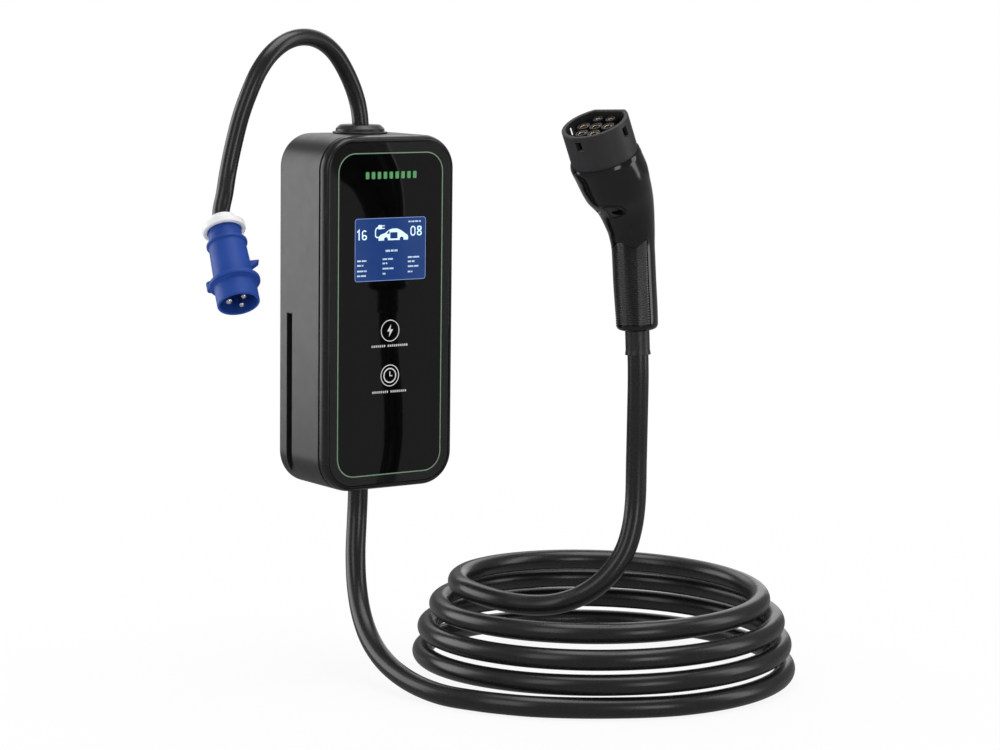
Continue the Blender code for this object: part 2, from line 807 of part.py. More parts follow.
def plug(finish):
    base = frame_along("plug_frame", plug_end, plug_axis, plug_side)
    lead_bore = lead_diameter / 2 + cord_gap
    ring_bore = neck_radius + gap
    nut_edge = 0.001
    collar = [
        (lead_bore, 0.0),
        (collar_nut_radius - nut_edge, 0.0),
        (collar_nut_radius, nut_edge),
        (collar_nut_radius, collar_nut_length - nut_edge),
        (collar_ring_radius - nut_edge, collar_nut_length),
        (collar_ring_radius, collar_nut_length + nut_edge),
        (collar_ring_radius, collar_length - nut_edge * 0.5),
        (collar_ring_radius - nut_edge * 0.5, collar_length),
        (ring_bore, collar_length),
        (ring_bore, neck_start - gap),
        (lead_bore, neck_start - gap),
    ]
    object_of("plug_collar", turned_mesh("plug_collar", collar, 20, closed=True), finish["white"]).parent = base

    flange_end = plug_flange_at + plug_flange_width
    neck_flange_end = neck_flange_at + neck_flange_width
    recess = plug_length - sleeve_depth
    insert_back = recess - insert_thickness
    sleeve_bore = nose_radius - sleeve_wall
    seat = sleeve_bore - insert_step
    round_over = 0.0008
    body = [
        (lead_bore, neck_start),
        (neck_radius, neck_start),
        (neck_radius, neck_flange_at),
        (neck_flange_radius - round_over, neck_flange_at),
        (neck_flange_radius, neck_flange_at + round_over),
        (neck_flange_radius, neck_flange_end - round_over),
        (neck_flange_radius - round_over, neck_flange_end),
        (grip_radius_back, neck_flange_end + round_over),
        (grip_radius_front, plug_flange_at - round_over),
        (plug_flange_radius - round_over, plug_flange_at),
        (plug_flange_radius, plug_flange_at + round_over),
        (plug_flange_radius, flange_end - round_over),
        (plug_flange_radius - round_over, flange_end),
        (nose_radius - round_over, flange_end + round_over),
        (nose_radius, plug_length - 0.0006),
        (nose_radius - 0.0006, plug_length),
        (sleeve_bore, plug_length),
        (sleeve_bore, recess),
        (seat, recess),
        (seat, insert_back),
        (plug_bore_radius, insert_back),
        (plug_bore_radius, collar_length),
        (lead_bore, collar_length),
    ]
    shell = object_of("plug_body", turned_mesh("plug_body", body, 20, closed=True), finish["blue"])
    shell.parent = base
    add_plug_lugs(shell, base, flange_end)

    insert = object_of(
        "plug_insert",
        turned_mesh("plug_insert", [(seat - gap, insert_back + gap), (seat - gap, recess)], 24),
        finish["blue"],
    )
    insert.parent = base
    holes = []
    for k, (name, radius) in enumerate(pin_radii.items()):
        angle = pin_first_angle + k * math.tau / 3
        place = (pin_circle_radius * math.cos(angle), pin_circle_radius * math.sin(angle), 0)
        hole = [(radius + gap, insert_back - 0.002), (radius + gap, recess + 0.002)]
        holes.append(moved_mesh(turned_mesh("pin_hole", hole, 10), Matrix.Translation(place)))
        tip = plug_length - pin_tip_setback
        pin = [(radius, insert_back - 0.004), (radius, tip - radius * 0.5), (radius * 0.6, tip)]
        made = object_of(name, turned_mesh(name, pin, 10), finish["pin"])
        made.parent = base
        made.location = place
    boolean(insert, holes, "DIFFERENCE", "pin_holes").parent = base


# The key is a round boss behind the flange's edge, and the latch hook stands on the grip
def add_plug_lugs(shell, base, flange_end):
    key_place = Matrix.Translation((plug_flange_radius + key_reach - key_radius, 0, 0))
    key_ends = [(key_radius, plug_flange_at - key_rise), (key_radius, flange_end - hook_edge / 2)]
    key = moved_mesh(turned_mesh("plug_key", key_ends, 12), Matrix.Rotation(key_angle, 4, "Z") @ key_place)
    hook_back = plug_flange_at - hook_start
    hook_front = plug_flange_at - hook_end
    hook_root = grip_radius_back - hook_edge
    hook_tip = grip_radius_front + hook_reach
    rings = [
        [
            (hook_root, y, hook_back),
            (hook_tip, y, hook_back),
            (hook_tip, y, hook_back + hook_edge),
            (hook_root, y, hook_front),
        ]
        for y in (-hook_half_width, hook_half_width)
    ]
    hook = moved_mesh(loft_mesh("plug_hook", rings), Matrix.Rotation(hook_angle, 4, "Z"))
    boolean(shell, [key, hook], "UNION", "plug_key_and_hook").parent = base


# Handle stations: centre in the plane of the bend, height, half size in that plane, half size
# across it, and the tilt of the section
def handle_stations():
    straight_end = grip_to + grip_peak
    mouth_x, mouth_z = mouth_centre
    return [
        (0.0, 0.0, handle_half - 0.0047, handle_half - 0.0055, 0.0),
        (0.0, 0.0012, handle_half - 0.0019, handle_half - 0.0029, 0.0),
        (0.0, grip_from, handle_half - 0.0004, handle_half - 0.0014, 0.0),
        (0.0014, 0.040, handle_half, handle_half - 0.0010, 0.0),
        (0.0020, straight_end - 0.010, handle_half, handle_half - 0.0010, 0.05),
        (0.0034, straight_end + 0.004, handle_half + 0.0013, handle_half + 0.0001, 0.25),
        (mouth_x * 0.150, mouth_z * 0.615, 0.0207, 0.0197, 0.60),
        (mouth_x * 0.285, mouth_z * 0.710, 0.0232, 0.0226, 0.85),
        (mouth_x * 0.550, mouth_z * 0.805, 0.0270, 0.0268, 1.0),
        (mouth_x * 0.765, mouth_z * 0.905, 0.0287, 0.0287, 1.0),
        (mouth_x * 0.960, mouth_z * 0.978, mouth_radius, mouth_radius, 1.0),
        (mouth_x, mouth_z, mouth_radius - 0.0008, mouth_radius - 0.0008, 1.0),
    ]


def handle_section(height):
    """Centre, half sizes and tilt at a height along the handle, smooth between the stations."""
    stations = np.array(handle_stations())
    run = stations[:, 1]
    rises = np.diff(stations, axis=0) / np.diff(run)[:, None]
    product = np.maximum(rises[:-1] * rises[1:], 0)
    total = np.abs(rises[:-1]) + np.abs(rises[1:]) + 1e-12
    level = 2 * product / total * np.sign(rises[1:])
    slopes = np.concatenate([rises[:1], level, rises[-1:]])
    i = int(np.clip(np.searchsorted(run, height) - 1, 0, len(run) - 2))
    step = run[i + 1] - run[i]
    u = (height - run[i]) / step
    value = (
        (2 * u**3 - 3 * u**2 + 1) * stations[i]
        + (u**3 - 2 * u**2 + u) * step * slopes[i]
        + (3 * u**2 - 2 * u**3) * stations[i + 1]
        + (u**3 - u**2) * step * slopes[i + 1]
    )
    return value


def handle_point(height, angle, inwards=0.0):
    centre_x, _, half_in, half_across, tilt = handle_section(height)
    tilt = tilt * nose_tilt
    u = (half_in - inwards) * math.cos(angle)
    v = (half_across - inwards) * math.sin(angle)
    return (centre_x + u * math.cos(tilt), v, height - u * math.sin(tilt))


# The grip's upper edge rises to a peak on the inner side and beside the spine
def grip_top(angle):
    inside = min(abs(angle), grip_half_angle)
    return grip_to + grip_peak * 0.5 * (1 + math.cos(inside / grip_half_angle * math.tau))


def grip_angles(margin):
    angles = np.linspace(-grip_half_angle, grip_half_angle, grip_columns)
    angles[0] += margin
    angles[-1] -= margin
    return angles


def handle(finish, base):
    # Angles of the columns: the pocket's two edges are doubled, once at each depth
    pocket = list(grip_angles(0.0))
    spine = list(np.linspace(grip_half_angle, math.tau - grip_half_angle, 10))
    columns = [(a, True) for a in pocket] + [(a, False) for a in spine]

    def ring(height_of, in_pocket):
        return [
            handle_point(height_of(a if deep else grip_half_angle), a, grip_depth if deep and in_pocket else 0.0)
            for a, deep in columns
        ]

    top = mouth_centre[1]
    above = grip_to + grip_peak + 0.004
    rings = [ring(lambda a, h=h: h, False) for h in (0.0, 0.0012, grip_from)]
    rings += [
        ring(lambda a, s=s: grip_from + (grip_top(a) - grip_from) * s, True)
        for s in np.linspace(0, 1, pocket_rows)
    ]
    rings.append(ring(grip_top, False))
    rings += [ring(lambda a, h=h: h, False) for h in np.linspace(above, top * 0.955, 6)]
    rings += [ring(lambda a, h=h: h, False) for h in (top * 0.978, top)]
    shell = object_of("handle_shell", loft_mesh("handle_shell", rings), finish)
    shell.parent = base

    cable_bore = cable_diameter / 2 + cord_gap
    bore = turned_mesh("cable_bore", [(cable_bore, -0.002), (cable_bore, handle_bore_depth)], 16)
    seat = (connector_nose_radius + gap) / math.cos(math.pi / mouth_steps)
    mouth = turned_mesh("mouth", [(seat, -mouth_depth), (seat, 0.004)], mouth_steps)
    mouth = moved_mesh(mouth, nose_matrix())
    boolean(shell, [bore, mouth], "DIFFERENCE", "handle_bore_and_mouth").parent = base
    scallops = [scallop(side) for side in (1, -1)]
    boolean(shell, scallops, "DIFFERENCE", "handle_scallops").parent = base
    return shell


# Almond hollow on each side of the throat, cut by a flattened ball that lies along the skin and
# drops towards the spine
def scallop(side):
    size = (scallop_half_length, scallop_depth, scallop_half_height, 1.0)
    ball = turned_mesh(
        "scallop",
        [(math.cos(a), math.sin(a)) for a in np.radians((-80, -48, -16, 16, 48, 80))],
        12,
    )
    angle = side * scallop_angle
    x, y, z = handle_point(mouth_centre[1] * scallop_height_share, angle)
    turn = Matrix.Rotation(angle + math.radians(90), 4, "Z")
    hang = Matrix.Rotation(scallop_overhang, 4, "X")
    drop = Matrix.Rotation(side * scallop_slope, 4, "Y")
    return moved_mesh(ball, Matrix.Translation((x, y, z)) @ turn @ hang @ drop @ Matrix.Diagonal(size))


# The grip fills the pocket and stands back from the handle's surface by the height of a rib. It is
# lofted round the handle, one section for each column.
def grip(finish, base):
    low = grip_from + grip_side_gap
    inner_depth = grip_depth - grip_side_gap
    shares = np.linspace(0, 1, pocket_rows)
    rings = []
    for a in grip_angles(grip_side_gap / handle_half):
        heights = low + (grip_top(a) - grip_end_gap - low) * shares
        outer = [handle_point(h, a, rib_height) for h in heights]
        inner = [handle_point(h, a, inner_depth) for h in heights]
        rings.append(outer + inner[::-1])
    object_of("grip_insert", loft_mesh("grip_insert", rings), finish).parent = base


def nose_matrix():
    x, z = mouth_centre
    return Matrix.Translation((x, 0, z)) @ Matrix.Rotation(nose_tilt, 4, "Y")


# Circle with a flat on the side away from the grip
def nose_ring(radius, flat, z, steps=34):
    half = math.acos(min(1.0, flat / radius))
    flat_points = 4
    points = []
    for a in np.linspace(math.pi + half, 3 * math.pi - half, steps - flat_points):
        points.append((radius * math.cos(a), radius * math.sin(a), z))
    reach = radius * math.sin(half)
    for s in np.linspace(reach, -reach, flat_points + 2)[1:-1]:
        points.append((-flat, s, z))
    return points


def connector_nose(finish, base):
    outer, flat = connector_nose_radius, connector_nose_flat
    inner, inner_flat = outer - connector_nose_wall, flat - connector_nose_wall
    foot = -(mouth_depth - gap)
    face = connector_nose_length
    edge = 0.0008
    rings = [
        nose_ring(outer, flat, foot),
        nose_ring(outer, flat, face - edge),
        nose_ring(outer - edge, flat - edge, face),
        nose_ring(inner + edge, inner_flat + edge, face),
        nose_ring(inner, inner_flat, face - edge),
        nose_ring(inner, inner_flat, face - connector_recess - carrier_base),
    ]
    made = object_of("connector_nose", loft_mesh("connector_nose", rings), finish)
    cuts = []
    for angle in (0, 90, -90):
        slot = box_mesh(
            "slot",
            (outer - connector_nose_wall * 1.5, -slot_width / 2, face - slot_from_face - slot_length),
            (outer + 0.002, slot_width / 2, face - slot_from_face),
        )
        cuts.append(moved_mesh(slot, Matrix.Rotation(math.radians(angle), 4, "Z")))
    made.parent = base
    made.matrix_local = nose_matrix()
    cutter = boolean(made, cuts, "DIFFERENCE", "nose_slots")
    cutter.parent = base
    cutter.matrix_local = nose_matrix()
    return made


# The carrier is one moulding: a base plate with seven barrels standing in the nose
def contacts(finish, base):
    inner = connector_nose_radius - connector_nose_wall - gap
    inner_flat = connector_nose_flat - connector_nose_wall - gap
    floor = connector_nose_length - connector_recess
    low = floor - carrier_base + gap
    barrel_top = connector_nose_length - barrel_setback
    rings = [nose_ring(inner, inner_flat, z) for z in (low, floor)]
    carrier = object_of("contact_carrier", loft_mesh("contact_carrier", rings), finish["nose"])
    carrier.parent = base
    carrier.matrix_local = nose_matrix()
    barrels = []
    bores = []
    for name, (x, y, radius) in contact_layout.items():
        place = Matrix.Translation((x, y, 0))
        bore = radius - barrel_wall
        barrel = [(radius, floor - carrier_base / 2), (radius, barrel_top)]
        barrels.append(moved_mesh(turned_mesh("barrel", barrel, 10), place))
        hollow = [(bore, floor - carrier_base * 0.4), (bore, barrel_top + 0.002)]
        bores.append(moved_mesh(turned_mesh("barrel_bore", hollow, 10), place))
        sleeve = bore - gap
        low_end = floor - carrier_base * 0.4 + gap
        high_end = barrel_top - contact_setback
        contact = [
            (sleeve - contact_wall, low_end),
            (sleeve, low_end),
            (sleeve, high_end),
            (sleeve - contact_wall, high_end),
        ]
        made = object_of(name, turned_mesh(name, contact, 10, closed=True), finish["silver"])
        made.parent = base
        made.matrix_local = nose_matrix() @ place
    for adding, operation, name in ((barrels, "UNION", "barrels"), (bores, "DIFFERENCE", "barrel_bores")):
        other = boolean(carrier, adding, operation, name)
        other.parent = base
        other.matrix_local = nose_matrix()


def connector(finish):
    base = frame_along("connector_frame", connector_place, connector_axis, connector_lean_side)
    handle(finish["gloss"], base)
    grip(finish["grip"], base)
    connector_nose(finish["nose"], base)
    contacts(finish, base)
    cable_bore = cable_diameter / 2 + cord_gap
    boot = [
        (cable_bore, -boot_length),
        (boot_radius + boot_flare, -boot_length),
        (boot_radius, -boot_length + 0.004),
        (boot_radius, -gap),
        (cable_bore, -gap),
    ]
    made = object_of("connector_boot", turned_mesh("connector_boot", boot, 18, closed=True), finish["rubber"])
    made.parent = base


def main():
    clear_scene()
    finish = materials()
    rear_housing(finish["housing"])
    front_cover(finish["cover"])
    housing_seal(finish["rubber"])
    front_panel(finish["panel"])
    display_module(finish["display"])
    electronics(finish)
    housing_screws(finish["steel"])
    glands(finish["rubber"])
    clamp("supply_clamp", finish["case"], lead_diameter / 2, 1)
    clamp("charging_clamp", finish["case"], cable_diameter / 2, -1)
    cords(finish["sheath"])
    plug(finish)
    connector(finish)


main()
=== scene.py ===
# A portable charger for electric cars: a black control box with a touch panel, a short lead to a blue
# plug, and a coiled charging cable that rises to its vehicle connector. Sizes are in metres.
import math
from types import SimpleNamespace

import bmesh
import bpy
import numpy as np
from mathutils import Matrix, Vector


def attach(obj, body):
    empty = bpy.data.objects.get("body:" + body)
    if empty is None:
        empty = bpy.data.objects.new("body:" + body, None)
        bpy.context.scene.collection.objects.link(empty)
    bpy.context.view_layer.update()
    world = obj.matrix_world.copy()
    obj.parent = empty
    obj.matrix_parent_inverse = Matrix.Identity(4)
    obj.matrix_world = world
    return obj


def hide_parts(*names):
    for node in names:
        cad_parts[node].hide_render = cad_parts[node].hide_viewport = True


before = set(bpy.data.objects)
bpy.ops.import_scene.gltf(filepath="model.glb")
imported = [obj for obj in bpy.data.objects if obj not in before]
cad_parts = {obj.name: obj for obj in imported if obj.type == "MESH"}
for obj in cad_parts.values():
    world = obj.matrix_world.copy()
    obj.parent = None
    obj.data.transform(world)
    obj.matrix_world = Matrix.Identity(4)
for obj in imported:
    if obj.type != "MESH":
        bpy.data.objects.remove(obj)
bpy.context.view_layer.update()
print("stage: frame loaded")

# Camera, fitted to the photograph
cameraSettings = {
    "place": (-1.31887, -2.11706, 0.25996), "forward": (0.56928, 0.81232, -0.12668),
    "roll": math.radians(0.703), "lens": 106.03, "sensor": 36.0, "clip": (0.05, 50.0),
}


# New object of the scene, made of the given data
def addObject(name, data):
    made = bpy.data.objects.new(name, data)
    bpy.context.scene.collection.objects.link(made)
    return made


# Camera that looks along forward from its place, its level side and its top turned by the roll
def makeCamera(settings):
    forward = Vector(settings["forward"]).normalized()
    level = forward.cross(Vector((0, 0, 1))).normalized()
    rise = level.cross(forward)
    c, s = math.cos(settings["roll"]), math.sin(settings["roll"])
    right = level * c + rise * s
    up = rise * c - level * s
    data = bpy.data.cameras.new("camera")
    data.lens = settings["lens"]
    data.sensor_width = settings["sensor"]
    data.sensor_fit = "HORIZONTAL"
    data.clip_start, data.clip_end = settings["clip"]
    camera = addObject("camera", data)
    turned = Matrix((right, up, -forward)).transposed().to_4x4()
    camera.matrix_world = Matrix.Translation(settings["place"]) @ turned
    bpy.context.scene.camera = camera


makeCamera(cameraSettings)
bpy.context.scene.view_settings.view_transform = "Standard"


# Gives a node's inputs their values, each a number, a colour or another node's output
def setInputs(node, inputs):
    for key, value in inputs.items():
        if isinstance(value, bpy.types.NodeSocket):
            node.id_data.links.new(value, node.inputs[key])
        else:
            node.inputs[key].default_value = value


# New node of a kind, with its inputs and its own settings
def addNode(tree, kind, inputs, **settings):
    node = tree.nodes.new(kind)
    for key, value in settings.items():
        setattr(node, key, value)
    setInputs(node, inputs)
    return node


# Value on the straight line from one range to another, held at the ends
def mapRange(tree, value, before, after):
    inputs = {"Value": value, "From Min": before[0], "From Max": before[1]}
    inputs.update({"To Min": after[0], "To Max": after[1]})
    return addNode(tree, "ShaderNodeMapRange", inputs).outputs["Result"]


# Light path of a ray, and a value that is 1 where the camera sees, straight or through a clear piece
def seenShare(tree):
    path = addNode(tree, "ShaderNodeLightPath", {})
    rays = {0: path.outputs["Is Camera Ray"], 1: path.outputs["Is Transmission Ray"]}
    return path, addNode(tree, "ShaderNodeMath", rays, operation="MAXIMUM").outputs["Value"]


# Material in the making: each step adds nodes and gives their result to the shader
class Surface:
    noiseMiddle = (0.3, 0.7)  # most of a noise's values lie between these

    # Plain surface of one colour, roughness and share of metal
    def __init__(self, name, colour, roughness, metallic=0.0):
        self.material = bpy.data.materials.new(name)
        self.material.use_nodes = True
        self.tree = self.material.node_tree
        self.shader = self.tree.nodes["Principled BSDF"]
        self.colour = (*colour, 1.0)
        setInputs(self.shader, {"Base Color": self.colour, "Roughness": roughness, "Metallic": metallic})

    # Place on the piece, in metres
    def place(self):
        return addNode(self.tree, "ShaderNodeTexCoord", {}).outputs["Object"]

    # Cloudy value with the given number of cells to a metre
    def noise(self, scale, detail=3.0):
        inputs = {"Vector": self.place(), "Scale": scale, "Detail": detail}
        return addNode(self.tree, "ShaderNodeTexNoise", inputs).outputs["Fac"]

    # Roughness that wanders with a noise from the lowest to the highest
    def roughness(self, scale, lowest, highest):
        rough = mapRange(self.tree, self.noise(scale), self.noiseMiddle, (lowest, highest))
        setInputs(self.shader, {"Roughness": rough})

    # Base colour mixed with another by a factor
    def mixColour(self, factor, other):
        inputs = {"Factor": factor, "A": self.colour, "B": (*other, 1.0)}
        mix = addNode(self.tree, "ShaderNodeMix", inputs, data_type="RGBA")
        setInputs(self.shader, {"Base Color": mix.outputs["Result"]})

    # Colour that wanders with a noise towards another, by the largest share at most
    def tint(self, scale, other, largest=1.0):
        self.mixColour(mapRange(self.tree, self.noise(scale), self.noiseMiddle, (0.0, largest)), other)

    # Relief of a noise, with its height in metres
    def bump(self, scale, detail, height, strength):
        inputs = {"Height": self.noise(scale, detail), "Distance": height, "Strength": strength}
        setInputs(self.shader, {"Normal": addNode(self.tree, "ShaderNodeBump", inputs).outputs["Normal"]})


# Sheath of both cords: satin black rubber, a little uneven in its gloss, with a faint fine grain
def sheathMaterial(name):
    made = Surface(name, (0.011, 0.0119, 0.0116), 0.28)
    made.roughness(45.0, 0.25, 0.3)
    made.bump(400.0, 1.0, 0.00003, 0.12)
    return made.material


# Curve through points by the centripetal Catmull-Rom rule; the first and last points only aim it
def smoothThrough(points, spacing):
    smooth = []
    for a, b, c, d in zip(points, points[1:], points[2:], points[3:]):
        a, b, c, d = (np.asarray(p, float) for p in (a, b, c, d))
        t1 = np.linalg.norm(b - a) ** 0.5
        t2 = t1 + np.linalg.norm(c - b) ** 0.5
        t3 = t2 + np.linalg.norm(d - c) ** 0.5
        count = max(2, round(np.linalg.norm(c - b) / spacing))
        t = (t1 + (t2 - t1) * np.arange(count) / count)[:, None]
        ab = a + (b - a) * t / t1
        bc = b + (c - b) * (t - t1) / (t2 - t1)
        cd = c + (d - c) * (t - t2) / (t3 - t2)
        abc = ab + (bc - ab) * t / t2
        bcd = bc + (cd - bc) * (t - t1) / (t3 - t1)
        smooth.append(abc + (bcd - abc) * (t - t1) / (t2 - t1))
    smooth.append(np.asarray(points[-2], float)[None, :])
    return np.concatenate(smooth)


# Points at even steps along a line, by the length run since its start
def evenly(points, spacing):
    run = np.concatenate([[0], np.cumsum(np.linalg.norm(np.diff(points, axis=0), axis=1))])
    wanted = np.linspace(0, run[-1], max(3, round(run[-1] / spacing) + 1))
    return np.stack([np.interp(wanted, run, points[:, k]) for k in range(3)], axis=1)


# Length of a line: the sum of the distances from point to point
def lengthOf(points):
    return float(np.linalg.norm(np.diff(points, axis=0), axis=1).sum())


# Frames along a path that turn as little as may be from point to point
def framesAlong(points):
    along = np.gradient(points, axis=0)
    along /= np.linalg.norm(along, axis=1)[:, None]
    across = np.zeros_like(points)
    start = np.cross(along[0], (0.0, 0.0, 1.0))
    if np.linalg.norm(start) < 0.1:
        start = np.cross(along[0], (0.0, 1.0, 0.0))
    across[0] = start / np.linalg.norm(start)
    for i in range(1, len(points)):
        turned = across[i - 1] - along[i] * across[i - 1].dot(along[i])
        across[i] = turned / np.linalg.norm(turned)
    return along, across, np.cross(along, across)


# Mesh from a grid of points, rows by columns, with a face in each cell. Closed columns make a tube,
# which gets a face at both ends unless its rows close too.
def gridMesh(grid, closeColumns=True, closeRows=False):
    rows, columns = grid.shape[:2]
    i = np.arange(rows if closeRows else rows - 1)[:, None]
    j = np.arange(columns if closeColumns else columns - 1)[None, :]
    k, n = (i + 1) % rows, (j + 1) % columns
    corners = (i * columns + j, i * columns + n, k * columns + n, k * columns + j)
    faces = np.stack(np.broadcast_arrays(*corners), axis=-1).reshape(-1, 4).tolist()
    if closeColumns and not closeRows:
        faces.append(list(range(columns))[::-1])
        faces.append(list(range((rows - 1) * columns, rows * columns)))
    mesh = bpy.data.meshes.new("grid")
    mesh.from_pydata(grid.reshape(-1, 3).tolist(), [], faces)
    return mesh


# Closed body from rings of equally many points: points that fall together are welded, and the
# faces are turned outwards
def loftMesh(rings, closeRows=False):
    mesh = gridMesh(np.asarray(rings, float), closeRows=closeRows)
    built = bmesh.new()
    built.from_mesh(mesh)
    bmesh.ops.remove_doubles(built, verts=built.verts, dist=0.000002)
    bmesh.ops.recalc_face_normals(built, faces=built.faces)
    built.to_mesh(mesh)
    built.free()
    return mesh


# Turned body: each point (radius, height) of the profile goes round the Z axis
def turnedMesh(profile, steps=72, closeRows=False):
    radius, height = np.asarray(profile, float).T
    turn = np.linspace(0, 2 * math.pi, steps, endpoint=False)
    rings = [np.outer(radius, np.cos(turn)), np.outer(radius, np.sin(turn)), np.outer(height, np.ones(steps))]
    return loftMesh(np.stack(rings, axis=-1), closeRows)


easing = {"edgeShare": 0.4, "guard": 1.2, "steps": 4}


# Eased profile: every corner becomes a short curve, the quadratic through the points at the same
# reach on both its edges, with a guard point further out on each edge so that the flats shade flat
def eased(profile, reach, closed=True):
    points = np.asarray(profile, float)
    t = np.linspace(0, 1, easing["steps"] + 1)[:, None]
    made = []
    for k, corner in enumerate(points):
        if not closed and k in (0, len(points) - 1):
            made.append(corner[None, :])
            continue
        legs = np.array([points[k - 1], points[(k + 1) % len(points)]]) - corner
        spans = np.linalg.norm(legs, axis=1)[:, None]
        near = legs / spans * min(reach, easing["edgeShare"] * spans.min())
        first, last = corner + near
        before, after = corner + near * easing["guard"]
        curve = (1 - t) ** 2 * first + 2 * t * (1 - t) * corner + t**2 * last
        made.append(np.concatenate([before[None, :], curve, after[None, :]]))
    return np.concatenate(made)


# One mesh that holds several
def joinedMesh(meshes):
    built = bmesh.new()
    for mesh in meshes:
        built.from_mesh(mesh)
    made = bpy.data.meshes.new("joined")
    built.to_mesh(made)
    built.free()
    return made


# Joins a closed body with others, or cuts them out of it, and gives the result as a plain mesh
def carvedMesh(mesh, others, operation):
    objects = [addObject("carve", one) for one in (mesh, joinedMesh(others))]
    modifier = objects[0].modifiers.new("carve", "BOOLEAN")
    modifier.operation = operation
    modifier.object = objects[1]
    modifier.solver = "EXACT"
    graph = bpy.context.evaluated_depsgraph_get()
    carved = bpy.data.meshes.new_from_object(objects[0].evaluated_get(graph))
    for made in objects:
        bpy.data.objects.remove(made)
    return carved


# The same mesh, with a matrix applied to its points
def movedMesh(mesh, matrix):
    mesh.transform(matrix)
    return mesh


# Shift by a distance along each axis
def shifted(x=0.0, y=0.0, z=0.0):
    return Matrix.Translation((x, y, z))


# Turn by an angle about an axis
def turned(angle, axis="Z"):
    return Matrix.Rotation(angle, 4, axis)


# Frame with its Z along the axis and its X as near as may be to the side
def frameAlong(place, axis, side):
    axis, side = Vector(axis).normalized(), Vector(side)
    side = (side - axis * side.dot(axis)).normalized()
    return Matrix.Translation(place) @ Matrix((side, axis.cross(side), axis)).transposed().to_4x4()


# Finished mesh as a piece on the root body; it is shaded smooth but for edges over an angle, or flat
def addPiece(name, mesh, material, sharpFrom=None):
    made = addObject(name, mesh)
    mesh.name = name
    mesh.materials.clear()
    mesh.materials.append(material)
    if sharpFrom:
        mesh.shade_smooth()
        mesh.set_sharp_from_angle(angle=math.radians(sharpFrom))
    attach(made, "root")
    return made


# Cord routes, repeated from the part. A cord starts at the second point inside and aims by the first,
# and its spacing is that of the smooth line and of the even one.
lead = {
    "diameter": 0.014, "length": 0.33, "exit": (0.0, -0.027, 0.1548),
    "inside": ((0.0, -0.027, 0.115), (0.0, -0.027, 0.128)), "spacing": (0.002, 0.003),
    "route": (
        (0.0, -0.027, 0.1585), (-0.004, -0.027, 0.1768), (-0.0143, -0.0284, 0.1972),
        (-0.0297, -0.0326, 0.2147), (-0.048, -0.0384, 0.2245), (-0.0675, -0.0444, 0.2271),
        (-0.0865, -0.05, 0.2231), (-0.1023, -0.0535, 0.2135), (-0.1141, -0.055, 0.2),
        (-0.1227, -0.0547, 0.1832), (-0.129, -0.0524, 0.1648), (-0.1346, -0.05, 0.1411),
        (-0.1398, -0.0497, 0.118), (-0.1451, -0.054, 0.1023),
    ),
}
cable = {
    "diameter": 0.017, "length": 4.24, "exit": (0.0, -0.027, -0.1515),
    "inside": ((0.0, -0.027, -0.115), (0.0, -0.027, -0.128)), "spacing": (0.003, 0.0045),
    "drop": (
        (0.0, -0.027, -0.1585), (-0.0018, -0.0284, -0.1808), (-0.0068, -0.0346, -0.2077),
        (-0.0126, -0.0459, -0.2319), (-0.0186, -0.0629, -0.2536), (-0.0234, -0.0846, -0.271),
        (-0.0262, -0.1126, -0.2845), (-0.026, -0.1487, -0.2935), (-0.021, -0.1879, -0.2973),
        (-0.009, -0.221, -0.2973), (0.002, -0.2399, -0.2973), (0.0214, -0.264, -0.2973),
    ),
    "riser": (
        (0.0396, -0.1825, -0.2276), (0.0513, -0.2083, -0.2281), (0.0649, -0.2285, -0.2246),
        (0.0809, -0.2405, -0.217), (0.0945, -0.2494, -0.2052), (0.1041, -0.2539, -0.1931),
        (0.1115, -0.2562, -0.18), (0.117, -0.2568, -0.1633), (0.1203, -0.2562, -0.1438),
        (0.1207, -0.2563, -0.1062), (0.1189, -0.2589, -0.0681), (0.1178, -0.2604, -0.0423),
    ),
    "centre": (0.1547, -0.1703), "floor": -0.2973, "radii": (0.1546, 0.1515, 0.147, 0.1356, 0.1186),
    "turns": 3.8, "pointsPerTurn": 16, "right": (0.819, -0.5739), "firstRise": 0.0178,
    "firstPower": 1.5, "turnRise": 0.0192,
}

# Plug and vehicle connector, repeated from the part: where each stands, how it is turned, and the
# heights on its axis that its cord runs through
plug = {
    "end": (-0.1508, -0.0596, 0.0823), "axis": (-0.146, -0.592, -0.793),
    "side": (0.872, -0.455, 0.179), "cordHeights": (-0.005, 0.0082, 0.03),
}
connector = {
    "place": (0.1161, -0.2601, -0.0014), "axis": (-0.0386, 0.027, 0.9989),
    "leanSide": (-0.956, -0.293, 0.0), "cordHeights": (-0.025, 0.015, 0.035, 0.06),
    "boot": ((0.0088, -0.02), (0.0104, -0.02), (0.0098, -0.016), (0.0098, -0.0003), (0.0088, -0.0003)),
}
plugMatrix = frameAlong(plug["end"], plug["axis"], plug["side"])
connectorMatrix = frameAlong(connector["place"], connector["axis"], connector["leanSide"])


# Coil: a point is the centre plus the radius times (sine of the turn to the right, less its cosine to
# the back). The radius shrinks from turn to turn, and each turn climbs to lie on the one below.
def coilPoints(settings):
    t = np.linspace(0, settings["turns"], round(settings["turns"] * settings["pointsPerTurn"]) + 1)
    radius = np.interp(t, range(len(settings["radii"])), settings["radii"])[:, None]
    angle = 2 * math.pi * t[:, None]
    right = np.array(settings["right"])
    back = np.array((-right[1], right[0]))
    flat = settings["centre"] + radius * (np.sin(angle) * right - np.cos(angle) * back)
    rise = settings["firstRise"] * np.minimum(t, 1) ** settings["firstPower"]
    rise += settings["turnRise"] * np.maximum(t - 1, 0)
    return np.column_stack([flat, settings["floor"] + rise])


# Points on the Z axis of a frame, at the given heights
def onAxis(matrix, heights):
    return [tuple(matrix @ Vector((0, 0, height))) for height in heights]


